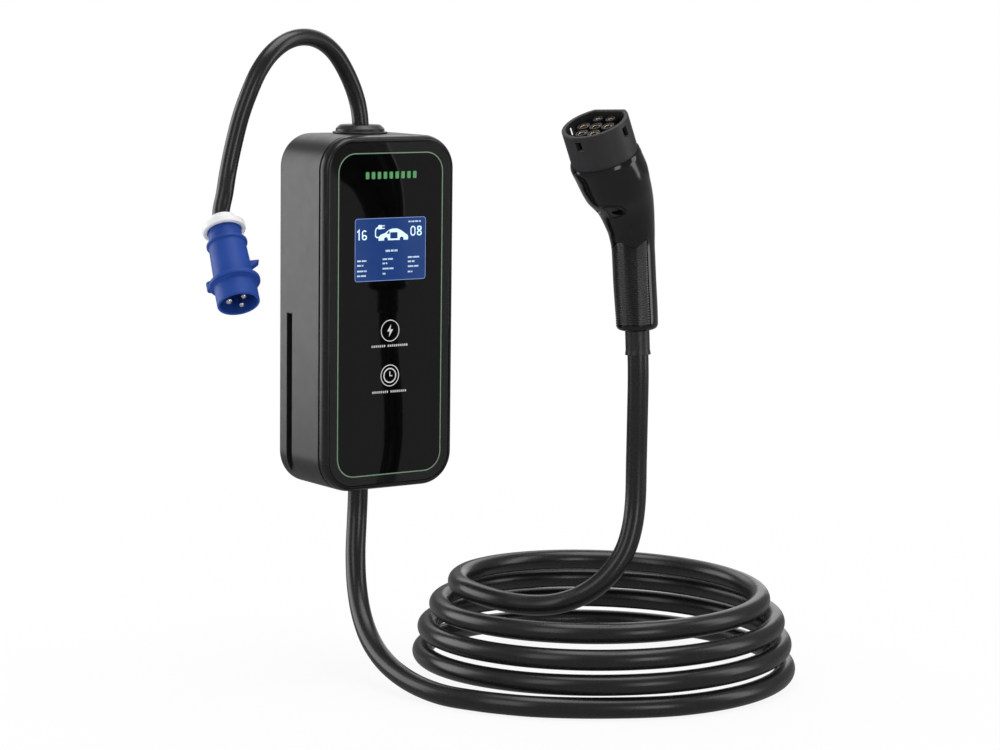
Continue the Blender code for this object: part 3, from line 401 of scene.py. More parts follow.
# Cord: a circle of points carried along the smooth line through its route
def cordPiece(name, settings, route, nodes, sides=32):
    fine, step = settings["spacing"]
    path = evenly(smoothThrough([*settings["inside"], *route], fine), step)
    _, across, up = framesAlong(path)
    turn = np.linspace(0, 2 * math.pi, sides, endpoint=False)[None, :, None]
    ring = across[:, None, :] * np.cos(turn) + up[:, None, :] * np.sin(turn)
    mesh = gridMesh(path[:, None, :] + ring * settings["diameter"] / 2)
    piece = addPiece(name, mesh, sheath, 35)
    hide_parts(*nodes)
    return piece, path


sheath = sheathMaterial("satinSheath")
leadRoute = [*lead["route"], *onAxis(plugMatrix, plug["cordHeights"])]
leadPiece, leadPath = cordPiece("supplyLeadSheath", lead, leadRoute, ["supply_lead"])
cableRoute = [*cable["drop"], *coilPoints(cable), *cable["riser"]]
cableRoute += onAxis(connectorMatrix, connector["cordHeights"])
cableNodes = [f"charging_cable_{part}" for part in ("drop", "coil", "riser")]
cablePiece, cablePath = cordPiece("chargingCableSheath", cable, cableRoute, cableNodes)
print("lead length", lengthOf(leadPath), "cable length", lengthOf(cablePath))
print("stage: cords")

# Finishes, in columns: colour, lowest and highest roughness, grains to a metre, relief in metres,
# share of metal, and sheen (0.5 is that of bare plastic)
finishes = {
    "housing": ((0.015, 0.015, 0.0158), (0.38, 0.43), 800.0, 0.00001, 0.0, 0.5),
    "cover": ((0.009, 0.0092, 0.0092), (0.24, 0.28), 500.0, 0.0, 0.0, 0.4),
    "panel": ((0.0018, 0.0016, 0.0018), (0.03, 0.045), 60.0, 0.0, 0.0, 0.5),
    "glass": ((0.002, 0.005, 0.025), (0.04, 0.06), 60.0, 0.0, 0.0, 0.5),
    "rubber": ((0.013, 0.0134, 0.0134), (0.34, 0.42), 1200.0, 0.00003, 0.0, 0.5),
    "white": ((0.91, 0.91, 0.92), (0.34, 0.42), 900.0, 0.00001, 0.0, 0.5),
    "blue": ((0.019, 0.066, 0.325), (0.4, 0.46), 900.0, 0.00001, 0.0, 0.18),
    "gloss": ((0.0045, 0.005, 0.0052), (0.11, 0.15), 90.0, 0.0, 0.0, 0.5),
    "nose": ((0.019, 0.0195, 0.0205), (0.48, 0.58), 1500.0, 0.00003, 0.0, 0.5),
    "carrier": ((0.015, 0.0145, 0.014), (0.34, 0.44), 1500.0, 0.00002, 0.0, 0.5),
    "nickel": ((0.82, 0.81, 0.8), (0.16, 0.24), 500.0, 0.0, 1.0, 0.5),
    "silver": ((0.6, 0.5, 0.39), (0.22, 0.32), 500.0, 0.0, 1.0, 0.5),
    "steel": ((0.55, 0.55, 0.56), (0.28, 0.4), 500.0, 0.0, 1.0, 0.5),
    "copper": ((0.7, 0.33, 0.18), (0.28, 0.4), 500.0, 0.0, 1.0, 0.5),
    "board": ((0.015, 0.11, 0.045), (0.4, 0.5), 900.0, 0.00002, 0.0, 0.5),
    "case": ((0.04, 0.04, 0.045), (0.45, 0.55), 900.0, 0.00003, 0.0, 0.5),
    "terminal": ((0.03, 0.17, 0.07), (0.4, 0.5), 900.0, 0.00002, 0.0, 0.5),
}
wander = {"glossPatch": 8, "colourPatch": 40, "lighter": 1.25, "colourShare": 0.5, "relief": 0.5}
# Grip finish: the lighter colour of its stripes is painted sheen, standing in for reflections of the lamps
grip = {
    "colour": (0.008, 0.0082, 0.0085), "paintedSheenStripe": (0.048, 0.048, 0.048), "rough": (0.26, 0.32), "scale": 75.0,
}


# Finish: gloss wanders in patches of a few grains, colour in larger ones, and the grain is a relief
def makeFinish(name, colour, rough, grain, relief, metal, sheen):
    made = Surface(name, colour, rough[0], metal)
    made.roughness(grain / wander["glossPatch"], *rough)
    lighter = [min(1.0, c * wander["lighter"]) for c in colour]
    made.tint(grain / wander["colourPatch"], lighter, wander["colourShare"])
    setInputs(made.shader, {"Specular IOR Level": sheen})
    if relief:
        made.bump(grain, 2.0, relief, wander["relief"])
    return made.material


# Grip: lighter stripes of painted sheen down it, standing in for the lamps' reflections on its ribs,
# mixed in by the mesh's own attribute
def gripFinish(name, settings):
    made = Surface(name, settings["colour"], settings["rough"][0])
    made.roughness(settings["scale"], *settings["rough"])
    paintedSheenStripe = addNode(made.tree, "ShaderNodeAttribute", {}, attribute_name="paintedSheenStripe")
    made.mixColour(paintedSheenStripe.outputs["Fac"], settings["paintedSheenStripe"])
    return made.material


finish = {name: makeFinish(name + "Finish", *columns) for name, columns in finishes.items()}
finish["grip"] = gripFinish("gripWithPaintedSheenFinish", grip)
shownNodes = {
    "rubber": ["housing_seal"],
    "glass": ["display_module"],
    "board": ["control_board", "main_board"],
    "copper": ["touch_pad_upper", "touch_pad_lower", "leakage_sensor"],
    "case": ["relay_live", "relay_neutral", "power_transformer", "supply_clamp", "charging_clamp"],
    "terminal": ["input_terminal_block", "output_terminal_block"],
    "steel": [f"housing_screw_{k}" for k in range(1, 5)],
}
for name, nodes in shownNodes.items():
    for slot in [slot for node in nodes for slot in bpy.data.objects[node].material_slots]:
        slot.material = finish[name]
print("stage: finishes")

# Control box, repeated from the part, with the small edges that shade it
box = {
    "width": 0.127, "height": 0.294, "depth": 0.076, "cornerRadius": 0.028, "backEdge": 0.006,
    "wall": 0.003, "coverDepth": 0.0096, "lip": 0.0035, "lipFlat": 0.0008, "roundness": 1.15,
    "bevelFrom": math.radians(70), "panelRecess": 0.0028, "panelThickness": 0.002, "plate": 0.0026,
    "seamEdge": 0.0011, "seamHalf": 0.0009, "gap": 0.0003, "grooveTop": -0.0015,
    "grooveFromBack": 0.015, "grooveWidth": 0.0088, "grooveDepth": 0.005, "grooveWeb": 0.0025,
    "screwX": 0.0485, "screwZ": 0.132, "pillar": 0.0045, "headBore": 0.0038, "headDepth": 0.0042,
    "screwBore": 0.0017, "cordFromBack": 0.027, "cordHole": 0.0133,
    "window": (0.0706, 0.0531, 0.0028), "windowZ": 0.0536, "cornerSteps": 22, "cornerGuard": 0.08,
    "guard": 0.002, "chamfer": 0.0002, "lipEase": 0.0003, "lipDrop": 0.00005, "panelEase": 0.0004,
    "cordCut": 0.006, "cutPast": 0.001, "holeSides": 40,
}
b = SimpleNamespace(**box)


# Quarter arcs round the four corners of a rectangle, and the angle of each point on them
def cornerArcs(x, z, width, height, radius, steps):
    turn = math.pi / 2 * (np.arange(4)[:, None] + np.linspace(0, 1, steps))
    sides = np.array(((1, 1), (-1, 1), (-1, -1), (1, -1)))
    middles = (x, z) + sides * (width / 2 - radius, height / 2 - radius)
    return middles[:, None, :] + radius * np.stack([np.cos(turn), np.sin(turn)], axis=-1), turn


# Outline of a rounded rectangle in X and Z at a depth, drawn in by an inset: quarter arcs, each with a
# point just before and just after it so that the straight sides shade flat
def outlineRing(inset, y, size=(b.width, b.height, b.cornerRadius), middleZ=0.0):
    width, height, radius = size[0] - 2 * inset, size[1] - 2 * inset, size[2] - inset
    arcs, turn = cornerArcs(0.0, middleZ, width, height, radius, b.cornerSteps)
    onward = radius * b.cornerGuard * np.stack([-np.sin(turn), np.cos(turn)], axis=-1)
    before, after = arcs[:, :1] - onward[:, :1], arcs[:, -1:] + onward[:, -1:]
    return np.insert(np.concatenate([before, arcs, after], axis=1).reshape(-1, 2), 1, y, axis=1)


# Outline of the display's window at a depth
def windowRing(y):
    return outlineRing(0.0, y, b.window, b.windowZ)


# Flat points in X and Y, lifted to a height
def lifted(points, z):
    return np.insert(np.asarray(points, float), 2, z, axis=1)


# Block between two corners: the rectangle of their X and Y, at the height of each
def blockMesh(low, high):
    (x0, y0, z0), (x1, y1, z1) = low, high
    ring = [(x0, y0), (x1, y0), (x1, y1), (x0, y1)]
    return loftMesh([lifted(ring, z) for z in (z0, z1)])


# X of the side wall's outer face at each height, which draws in with the corner's arc
def sideX(z):
    past = np.maximum(0.0, np.abs(z) - (b.height / 2 - b.cornerRadius))
    return b.width / 2 - b.cornerRadius + np.sqrt(b.cornerRadius ** 2 - past**2)


# Rear shell: the outline carried along a profile of inset and depth, outside and inside, with a rail
# groove cut in each side over a rib that backs it, and a stepped bore down each screw's pillar
def rearShell():
    seam = -(b.depth - b.coverDepth)
    turn = np.linspace(0, math.pi / 2, 12)
    backArc = b.backEdge * np.stack([1 - np.sin(turn), np.cos(turn) - 1], axis=1)
    ledge = seam + b.seamHalf
    outside = [(0.0, -b.backEdge - b.guard), (0.0, ledge + b.guard), (0.0, ledge + b.chamfer)]
    edge = [(b.chamfer, ledge), (b.seamEdge, ledge), (b.seamEdge, seam)]
    inside = [(b.wall, seam), (b.wall, -b.wall * 2), (b.wall * 2, -b.wall)]
    shell = loftMesh([outlineRing(*point) for point in [*backArc, *outside, *edge, *inside]])
    floorX = b.width / 2 - b.grooveDepth
    runOut = math.sqrt(2 * b.cornerRadius * b.grooveDepth - b.grooveDepth ** 2)
    corner = -(b.height / 2 - b.cornerRadius) - runOut * np.linspace(0, 1, 9)
    heights = np.concatenate([[b.grooveTop + b.grooveWeb], corner])
    near, far = -b.grooveFromBack, -(b.grooveFromBack + b.grooveWidth)
    back, front = near + b.grooveWeb, far - b.grooveWeb
    ribs, cuts = [], []
    for side in (1, -1):
        inner, outer = side * (floorX - b.grooveWeb), side * (sideX(heights) - b.wall / 2)
        corners = ((inner, back), (outer, back), (outer, front), (inner, front))
        lines = [np.stack(np.broadcast_arrays(x, y, heights), axis=-1) for x, y in corners]
        ribs.append(loftMesh(np.stack(lines, axis=1)))
        low, high = sorted((side * floorX, side * b.width))
        cuts.append(blockMesh((low, far, -b.height), (high, near, b.grooveTop)))
    for end in (b.height / 2, -b.height / 2):
        line = [(b.cordHole, end - b.cordCut), (b.cordHole, end + b.cordCut)]
        hole = turnedMesh(line, b.holeSides)
        cuts.append(movedMesh(hole, shifted(y=-b.cordFromBack)))
    pillar = [(b.pillar, b.wall / 2), (b.pillar, -seam)]
    bore = [(b.headBore, -b.cutPast), (b.headBore, b.headDepth)]
    bore += [(b.screwBore, b.headDepth), (b.screwBore, -seam + b.cutPast)]
    for x, z in ((sx * b.screwX, sz * b.screwZ) for sx in (1, -1) for sz in (1, -1)):
        place = shifted(x, 0, z) @ turned(math.pi / 2, "X")
        ribs.append(movedMesh(turnedMesh(pillar, b.holeSides), place))
        cuts.append(movedMesh(turnedMesh(bore, b.holeSides), place))
    return carvedMesh(carvedMesh(shell, ribs, "UNION"), cuts, "DIFFERENCE")


# Front cover: a rounded side from the seam groove on, a straight bevel up to the lip, and the plate
# behind the panel, which closes at the window
def frontCover():
    seam = -(b.depth - b.coverDepth) - b.gap
    plateFront = -(b.depth - b.panelRecess)
    plateBack = plateFront + b.plate
    turn = np.linspace(0, b.bevelFrom, 16)
    ledge = seam - b.seamHalf
    reach = b.depth + ledge - b.lipEase
    inwards, forwards = 1 - np.cos(turn) ** b.roundness, np.sin(turn) ** b.roundness
    lipArc = np.stack([b.lip * inwards, -(b.depth - reach) - reach * forwards], axis=1)
    side = [(b.seamEdge, seam), (b.seamEdge, ledge), (b.chamfer, ledge)]
    inset, wall = b.lip + b.lipFlat, b.wall + b.gap
    inner = [(inset - b.lipEase, -b.depth + b.lipDrop), (inset, -b.depth + b.lipEase)]
    profile = [(wall, plateBack), (wall, seam), *side, *lipArc, *inner, (inset, plateFront)]
    rings = [outlineRing(*point) for point in profile]
    return loftMesh([*rings, windowRing(plateFront), windowRing(plateBack)], closeRows=True)


# Panel: a sheet with an eased front edge and a window for the display
def glossPanel():
    back = -(b.depth - b.panelRecess) - b.gap
    front = back - b.panelThickness
    inset = b.lip + b.lipFlat + b.gap
    turn = np.linspace(0, math.pi / 2, 6)
    edge = (inset, front) + b.panelEase * np.stack([1 - np.cos(turn), 1 - np.sin(turn)], axis=1)
    rings = [outlineRing(*point) for point in [(inset, back), *edge, (inset + 3 * b.panelEase, front)]]
    return loftMesh([*rings, windowRing(front), windowRing(back)], closeRows=True)


glands = {
    "nut": 0.017, "neck": 0.013, "nutDepth": 0.003, "ease": 0.0007,
    "top": (
        (0.023, 0.0003), (0.023, 0.0016), (0.0205, 0.0016), (0.0205, 0.004), (0.0177, 0.0066),
        (0.0165, 0.0074), (0.0073, 0.0074),
    ),
    "low": ((0.0205, 0.0003), (0.0205, 0.0016), (0.0128, 0.0045), (0.0088, 0.0045)),
}


# Gland: a turned nut inside, a neck through the wall and a stepped body outside, on the box's top; a
# half turn about Y takes it to the bottom
def glandMesh(cord, outside, turn=0.0):
    nut, neck, inside = glands["nut"], glands["neck"], -b.wall - b.gap
    foot = inside - glands["nutDepth"]
    profile = [(cord["diameter"] / 2 + b.gap, foot), (nut, foot), (nut, inside), (neck, inside)]
    mesh = turnedMesh(eased([*profile, (neck, b.gap), *outside], glands["ease"]), 96, closeRows=True)
    place = shifted(0, -b.cordFromBack, b.height / 2)
    return movedMesh(mesh, turned(turn, "Y") @ place)


# Puts a mesh, moved by a matrix, in the place of a node with the named finish, and hides the node
def standFor(node, name, mesh, finishName, matrix=Matrix()):
    made = addPiece(name, movedMesh(mesh, matrix), finish[finishName], 40)
    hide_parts(node)
    return name


standFor("rear_housing", "rearShell", rearShell(), "housing")
standFor("front_cover", "frontCover", frontCover(), "cover")
standFor("front_panel", "glossPanel", glossPanel(), "panel")
standFor("top_gland", "topGland", glandMesh(lead, glands["top"]), "rubber")
standFor("bottom_gland", "bottomGland", glandMesh(cable, glands["low"], math.pi), "rubber")
print("stage: box")


# Arc or circle of points round a middle, in X and Z
def circlePoints(x, z, radius, count, start=0.0, end=2 * math.pi, closed=True):
    turn = np.linspace(start, end, count, endpoint=not closed)
    return np.stack([x + radius * np.cos(turn), z + radius * np.sin(turn)], axis=1)


# Rounded rectangle of points round a middle, in X and Z
def roundedPoints(x, z, width, height, radius, steps):
    return cornerArcs(x, z, width, height, radius, steps)[0].reshape(-1, 2)


# Flat shapes are points, faces between them, and the rims that the faces end at
def fill(points):
    around = np.arange(len(points))
    return np.asarray(points, float), around[None, :], [around]


# Band between two lines of equally many points: a face from each pair to the next
def band(outer, inner, closed=True):
    n = len(outer)
    j = np.arange(n)
    k = (j + 1) % n
    faces = np.stack([j, k, n + k, n + j], axis=1)
    rims = [j, n + j[::-1]]
    if not closed:
        faces, rims = faces[:-1], [np.concatenate(rims)]
    return np.concatenate([outer, inner]), faces, rims


# Stroke: two lines half a width to each side of the given one, mitred at its corners
def stroke(points, width, closed=False):
    points = np.asarray(points, float)
    legs = np.roll(points, -1, axis=0) - points
    if not closed:
        legs[-1] = legs[-2]
    legs /= np.linalg.norm(legs, axis=1)[:, None]
    before = np.roll(legs, 1, axis=0)
    if not closed:
        before[0] = legs[0]
    normal = np.stack([legs[:, 1] + before[:, 1], -legs[:, 0] - before[:, 0]], axis=1)
    normal /= np.linalg.norm(normal, axis=1)[:, None]
    lean = (normal * np.stack([legs[:, 1], -legs[:, 0]], axis=1)).sum(axis=1)
    offset = normal * (width / 2 / np.maximum(lean, 0.4))[:, None]
    return band(points + offset, points - offset, closed)


# Line of a width along a closed loop
def outline(loop, width):
    return stroke(loop, width, closed=True)


# Print: every shape becomes a thin solid just proud of the face behind it, its faces in front, the
# same turned round behind, and a wall of quads along each rim
def printPiece(name, shapes, faceY, material, lift=0.00001, depth=0.00005):
    vertices, faces, base = [], [], 0
    for points, front, rims in shapes:
        n = len(points)
        vertices += [np.insert(points, 1, y, axis=1) for y in (faceY - lift - depth, faceY - lift)]
        faces += (base + front).tolist() + (base + n + front[:, ::-1]).tolist()
        for rim in rims:
            onward = np.roll(rim, -1)
            faces += (base + np.stack([onward, rim, n + rim, n + onward], axis=1)).tolist()
        base += 2 * n
    mesh = bpy.data.meshes.new("print")
    mesh.from_pydata(np.concatenate(vertices).tolist(), [], faces)
    return addPiece(name, mesh, material)


inkWander = {"glossScale": 400.0, "glossShare": 0.1, "colourScale": 90.0, "darker": 0.92}


# Ink: a colour that glows a little, with patches somewhat darker and rougher
def inkMaterial(name, colour, glow, roughness=0.3):
    made = Surface(name, colour, roughness)
    share = inkWander["glossShare"]
    made.roughness(inkWander["glossScale"], roughness * (1 - share), roughness * (1 + share))
    made.tint(inkWander["colourScale"], [c * inkWander["darker"] for c in colour])
    setInputs(made.shader, {"Emission Color": made.colour, "Emission Strength": glow})
    return made.material


# Front panel: sizes from the photograph. An outline is its middle's Z, width, height and radius.
panel = {
    "face": -0.0755, "outline": (-0.0007, 0.1016, 0.2674, 0.016), "outlineStroke": 0.00085,
    "edgeInset": 0.0006, "steps": 14, "titleZ": 0.1148, "titleWidth": 0.052, "titleHeight": 0.0058,
    "titleRadius": 0.0007, "titleBars": 9, "titleShare": 0.58, "markRadius": 0.00875,
    "markStroke": 0.0007, "markHeights": (-0.0142, -0.0517),
    "bolt": (
        (0.0009, 0.0052), (-0.003, -0.0006), (-0.0004, -0.0006), (-0.0012, -0.0052), (0.003, 0.001),
        (0.0003, 0.001),
    ),
    "clockRadius": 0.0058, "clockStroke": 0.001,
    "hands": ((0, 0.0034), (0, -0.0003), (0.0026, -0.0003)), "handStroke": 0.0008,
    "labelHeights": (-0.0268, -0.0652), "labelHeight": 0.0019, "labelLetter": 0.00108,
    "labelGap": 0.00095, "labelRadius": 0.0003, "labelWords": ((7, 10), (8, 8)), "wordGap": 0.8,
}
p = SimpleNamespace(**panel)


# Row of upright marks from x on, each in the middle of its pitch
def markRow(x, z, count, pitch, width, height, radius, steps=3):
    return [fill(roundedPoints(x + (k + 0.5) * pitch, z, width, height, radius, steps)) for k in range(count)]


green = inkMaterial("greenInk", (0.085, 0.3, 0.11), 0.3)
paleGreen = inkMaterial("paleGreenInk", (0.165, 0.265, 0.172), 0.3)
pale = inkMaterial("paleInk", (0.62, 0.62, 0.62), 0.28)
borderInk = inkMaterial("borderInk", (0.0125, 0.013, 0.0125), 0.0, 0.05)
outlineLoop = roundedPoints(0, *p.outline, p.steps)
greenLine = printPiece("greenOutline", [outline(outlineLoop, p.outlineStroke)], p.face, paleGreen)
inset = b.lip + b.lipFlat + b.gap + p.edgeInset
edgeSize = (b.width - 2 * inset, b.height - 2 * inset, b.cornerRadius - inset)
border = band(roundedPoints(0, 0, *edgeSize, p.steps), outlineLoop)
borderPrint = printPiece("panelBorder", [border], p.face, borderInk, 0.000005, 0.000004)
pitch = p.titleWidth / p.titleBars
titleMark = (pitch, pitch * p.titleShare, p.titleHeight, p.titleRadius, 4)
titleMarks = markRow(-p.titleWidth / 2, p.titleZ, p.titleBars, *titleMark)
greenPrint = printPiece("greenPrint", titleMarks, p.face, green)

boltZ, clockZ = p.markHeights
marks = [outline(circlePoints(0, z, p.markRadius, 64), p.markStroke) for z in p.markHeights]
marks.append(fill(np.array(p.bolt) + (0, boltZ)))
marks.append(outline(circlePoints(0, clockZ, p.clockRadius, 56), p.clockStroke))
marks.append(stroke(np.array(p.hands) + (0, clockZ), p.handStroke))
pitch = p.labelLetter + p.labelGap
for z, words in zip(p.labelHeights, p.labelWords):
    letters = sum(words) + (len(words) - 1) * p.wordGap
    x = -letters * pitch / 2 - p.labelGap / 2
    for word in words:
        marks += markRow(x, z, word, pitch, p.labelLetter, p.labelHeight, p.labelRadius)
        x += (word + p.wordGap) * pitch
whitePrint = printPiece("palePrint", marks, p.face, pale)

# Display: a lit field with a pale border, readings, a car and its plug. Places are shares of the
# field's width and height, and each reading has its place and the widths of its words.
display = {
    "face": -0.0751, "z": 0.0536, "width": 0.07, "height": 0.0525, "radius": 0.0022,
    "fieldInset": 0.0004, "borderInset": 0.0009, "border": 0.0005, "digitSize": (0.005, 0.0083),
    "digitStroke": 0.0011,
    "digits": (("1", 0.055, 0.735), ("6", 0.135, 0.735), ("0", 0.815, 0.775), ("8", 0.905, 0.775)),
    "markPitch": 0.001, "markShare": 0.62, "markRounding": 0.2, "wordGap": 0.0007,
    "readings": (
        (0.75, 0.925, 0.0013, (0.0022, 0.003, 0.003, 0.002)),
        (0.43, 0.475, 0.0017, (0.0045, 0.0028, 0.0032)),
        (0.035, 0.33, 0.0014, (0.004, 0.0044)),
        (0.035, 0.258, 0.0014, (0.0042, 0.0012)),
        (0.035, 0.17, 0.0014, (0.0062, 0.0024)),
        (0.035, 0.095, 0.0014, (0.0028, 0.0052)),
        (0.39, 0.345, 0.0014, (0.0044, 0.005)),
        (0.39, 0.278, 0.0014, (0.0026, 0.0014)),
        (0.39, 0.195, 0.0014, (0.006, 0.004)),
        (0.39, 0.115, 0.0014, (0.003,)),
        (0.745, 0.36, 0.0014, (0.0046, 0.006)),
        (0.745, 0.292, 0.0014, (0.0034, 0.0026)),
        (0.745, 0.215, 0.0014, (0.0052, 0.0046)),
        (0.745, 0.13, 0.0014, (0.0028, 0.0012)),
    ),
    "car": (
        (0.33, 0.64), (0.335, 0.7), (0.365, 0.735), (0.42, 0.755), (0.47, 0.8), (0.52, 0.822),
        (0.59, 0.822), (0.645, 0.795), (0.7, 0.745), (0.738, 0.715), (0.748, 0.68), (0.742, 0.64),
    ),
    "cord": (
        (0.345, 0.69), (0.305, 0.692), (0.288, 0.715), (0.288, 0.8), (0.3, 0.835), (0.335, 0.85),
    ),
    "cordStroke": 0.001,
    "plugParts": (
        (0.352, 0.852, 0.004, 0.0036, 0.001, 4),
        (0.398, 0.872, 0.0028, 0.0007, 0.0002, 3),
        (0.398, 0.832, 0.0028, 0.0007, 0.0002, 3),
    ),
    "wheels": ((0.435, 0.655), (0.655, 0.655)), "wheelRadius": 0.0019,
    "sideWindow": ((0.445, 0.742), (0.485, 0.742), (0.485, 0.79), (0.47, 0.785)),
    "door": (0.545, 0.715, 0.0072, 0.0052, 0.0006, 4), "lift": (0.00006, 0.00003),
}
d = SimpleNamespace(**display)


# Place on the display, from its shares of the width and height
def at(u, v):
    return ((u - 0.5) * d.width, d.z + (v - 0.5) * d.height)


# Digit of rounded strokes in a cell: 0 is a loop, 1 an upright with a flag, 8 a loop on a loop, and
# 6 a hook over a loop
def digit(kind, x, z):
    (width, height), line = d.digitSize, d.digitStroke
    half, w = height / 2, width - line

    # Loop with its middle at a height
    def loop(middle, wide, high):
        return outline(roundedPoints(x, middle, wide, high - line, width * 0.38, 6), line)

    if kind == "0":
        return [loop(z, w, height)]
    if kind == "1":
        flag = ((x - w * 0.35, z + half * 0.6), (x + w * 0.1, z + half), (x + w * 0.1, z - half))
        return [stroke(flag, line)]
    lower = height * 0.54
    shapes = [loop(z - half + lower / 2, w, lower)]
    if kind == "8":
        upper = height * 0.5
        return [*shapes, loop(z + half - upper / 2, w * 0.9, upper)]
    hook = circlePoints(x, z + half - w / 2 - line / 2, w / 2, 10, math.radians(35), math.pi, False)
    return [*shapes, stroke([*hook, (x - w / 2, z - half + height * 0.27)], line)]


# Small reading: rows of short upright marks, as many to each word as its width takes
def reading(u, v, height, widths):
    shapes = []
    x, z = at(u, v)
    for width in widths:
        count = round(width / d.markPitch)
        pitch = width / count
        shapes += markRow(x, z, count, pitch, pitch * d.markShare, height, pitch * d.markRounding)
        x += width + d.wordGap
    return shapes


# Filled block on the display, from its place, size, radius and steps
def blockAt(u, v, *size):
    return fill(roundedPoints(*at(u, v), *size))


# Rounded rectangle on the display's outline, drawn in by an inset
def fieldLoop(inset, steps):
    return roundedPoints(0, d.z, d.width - inset, d.height - inset, d.radius, steps)


fieldInk = inkMaterial("displayField", (0.0105, 0.033, 0.132), 0.75, 0.12)
displayWhite = inkMaterial("displayWhite", (0.52, 0.66, 0.76), 0.85, 0.12)
displayPale = inkMaterial("displayPale", (0.16, 0.22, 0.42), 0.75, 0.12)
figures = []
for kind, u, v in d.digits:
    figures += digit(kind, *at(u, v))
for row in d.readings:
    figures += reading(*row)
figures.append(fill([at(u, v) for u, v in d.car[::-1]]))
figures.append(stroke([at(u, v) for u, v in d.cord], d.cordStroke))
figures += [blockAt(*part) for part in d.plugParts]
cutouts = [fill(circlePoints(*at(u, v), d.wheelRadius, 28)) for u, v in d.wheels]
cutouts += [fill([at(u, v) for u, v in d.sideWindow]), blockAt(*d.door)]
borderLine = [outline(fieldLoop(d.borderInset, 8), d.border)]
displayLayers = (
    ("displayLitField", [fill(fieldLoop(d.fieldInset, 6))], fieldInk, 0.00001),
    ("displayBorder", borderLine, displayPale, 0.00006),
    ("displayFigures", figures, displayWhite, 0.00006),
    ("displayCutouts", cutouts, fieldInk, 0.00012),
)
for name, shapes, ink, lift in displayLayers:
    printPiece(name, shapes, d.face, ink, lift, 0.00003)
print("stage: panel and display")

# Vehicle connector: the handle's sections, repeated from the part
handle = {
    "half": 0.018, "mouth": (0.0369, 0.141), "mouthRadius": 0.0289, "mouthDepth": 0.006,
    "mouthShares": (0.984, 0.99, 0.995, 1.0), "neckShare": 0.978, "seatRadius": 0.0273,
    "footHeights": (0.0, 0.0003, 0.0007, 0.0012, 0.002, 0.003, 0.0038), "gripBlend": 0.004,
    "noseTilt": math.radians(24), "cableBore": 0.0088, "boreDepth": 0.0355, "gripFrom": 0.0045,
    "gripTo": 0.068, "gripPeak": 0.0055, "gripHalfAngle": math.radians(78), "pocketDepth": 0.0022,
    "gripSideGap": 0.0004, "gripEndGap": 0.0006, "gripDepth": 0.0018, "ribs": 33,
    # Stripes of painted sheen: angles in degrees where the grip's colour is lighter, in place of reflections
    "stripes": ((-9.0, 8.0), (41.0, 70.0)), "stripeFade": 3.0, "ribHeight": 0.0006, "ribFade": 0.12,
    "ribSteepness": 1.3, "scallopPole": 86, "scallopAngle": math.radians(27), "scallopShare": 0.745,
    "scallopSize": (0.01, 0.003, 0.0046), "scallopSlope": math.radians(34),
    "scallopOverhang": math.radians(-30),
}
h = SimpleNamespace(**handle)


# Stations: centre in the plane of the bend, height, half size in that plane, half size across it,
# and the share of the nose's tilt
def handleStations(h):
    bend = h.gripTo + h.gripPeak
    mouthX, mouthZ = h.mouth
    half, rim = h.half, h.mouthRadius
    return np.array([
        (0.0, 0.0, half - 0.0047, half - 0.0055, 0.0),
        (0.0, 0.0012, half - 0.0019, half - 0.0029, 0.0),
        (0.0, h.gripFrom, half - 0.0004, half - 0.0014, 0.0),
        (0.0014, 0.04, half, half - 0.001, 0.0),
        (0.002, bend - 0.01, half, half - 0.001, 0.05),
        (0.0034, bend + 0.004, half + 0.0013, half + 0.0001, 0.25),
        (mouthX * 0.15, mouthZ * 0.615, 0.0207, 0.0197, 0.6),
        (mouthX * 0.285, mouthZ * 0.71, 0.0232, 0.0226, 0.85),
        (mouthX * 0.55, mouthZ * 0.805, 0.027, 0.0268, 1.0),
        (mouthX * 0.765, mouthZ * 0.905, 0.0287, 0.0287, 1.0),
        (mouthX * 0.96, mouthZ * 0.978, rim, rim, 1.0),
        (mouthX, mouthZ, rim - 0.0008, rim - 0.0008, 1.0),
    ])


stations = handleStations(h)


# Sections at the given heights: level slopes at the stations, and a smooth cubic between them
def handleSections(heights):
    run = stations[:, 1]
    rises = np.diff(stations, axis=0) / np.diff(run)[:, None]
    product = np.maximum(rises[:-1] * rises[1:], 0)
    total = np.abs(rises[:-1]) + np.abs(rises[1:]) + 1e-12
    slopes = np.concatenate([rises[:1], 2 * product / total * np.sign(rises[1:]), rises[-1:]])
    i = np.clip(np.searchsorted(run, heights) - 1, 0, len(run) - 2)
    step = (run[i + 1] - run[i])[..., None]
    u = (heights[..., None] - run[i][..., None]) / step
    return (
        (2 * u**3 - 3 * u**2 + 1) * stations[i]
        + (u**3 - 2 * u**2 + u) * step * slopes[i]
        + (3 * u**2 - 2 * u**3) * stations[i + 1]
        + (u**3 - u**2) * step * slopes[i + 1]
    )


# Points on the handle's skin: an ellipse at each height, tilted with the section
def handlePoints(heights, angles, inwards=0.0):
    heights, angles, inwards = np.broadcast_arrays(heights, angles, inwards)
    centre, _, halfIn, halfAcross, tilt = np.moveaxis(handleSections(heights), -1, 0)
    tilt = tilt * h.noseTilt
    u = (halfIn - inwards) * np.cos(angles)
    v = (halfAcross - inwards) * np.sin(angles)
    return np.stack([centre + u * np.cos(tilt), v, heights - u * np.sin(tilt)], axis=-1)


noseMatrix = shifted(h.mouth[0], 0, h.mouth[1]) @ turned(h.noseTilt, "Y")


# Points of a circle round the Z axis at a height
def roundPoints(radius, height, angles):
    return lifted(radius * np.stack([np.cos(angles), np.sin(angles)], axis=-1), height)


# Points of the nose's frame, in the handle's
def inNose(points):
    turn = np.array(noseMatrix)
    return points @ turn[:3, :3].T + turn[:3, 3]


# The grip's upper edge: a full cosine wave that peaks on the inner side and beside the spine
def gripTop(angles):
    inside = np.minimum(np.abs(angles), h.gripHalfAngle) / h.gripHalfAngle
    return h.gripTo + h.gripPeak * 0.5 * (1 + np.cos(inside * 2 * math.pi))


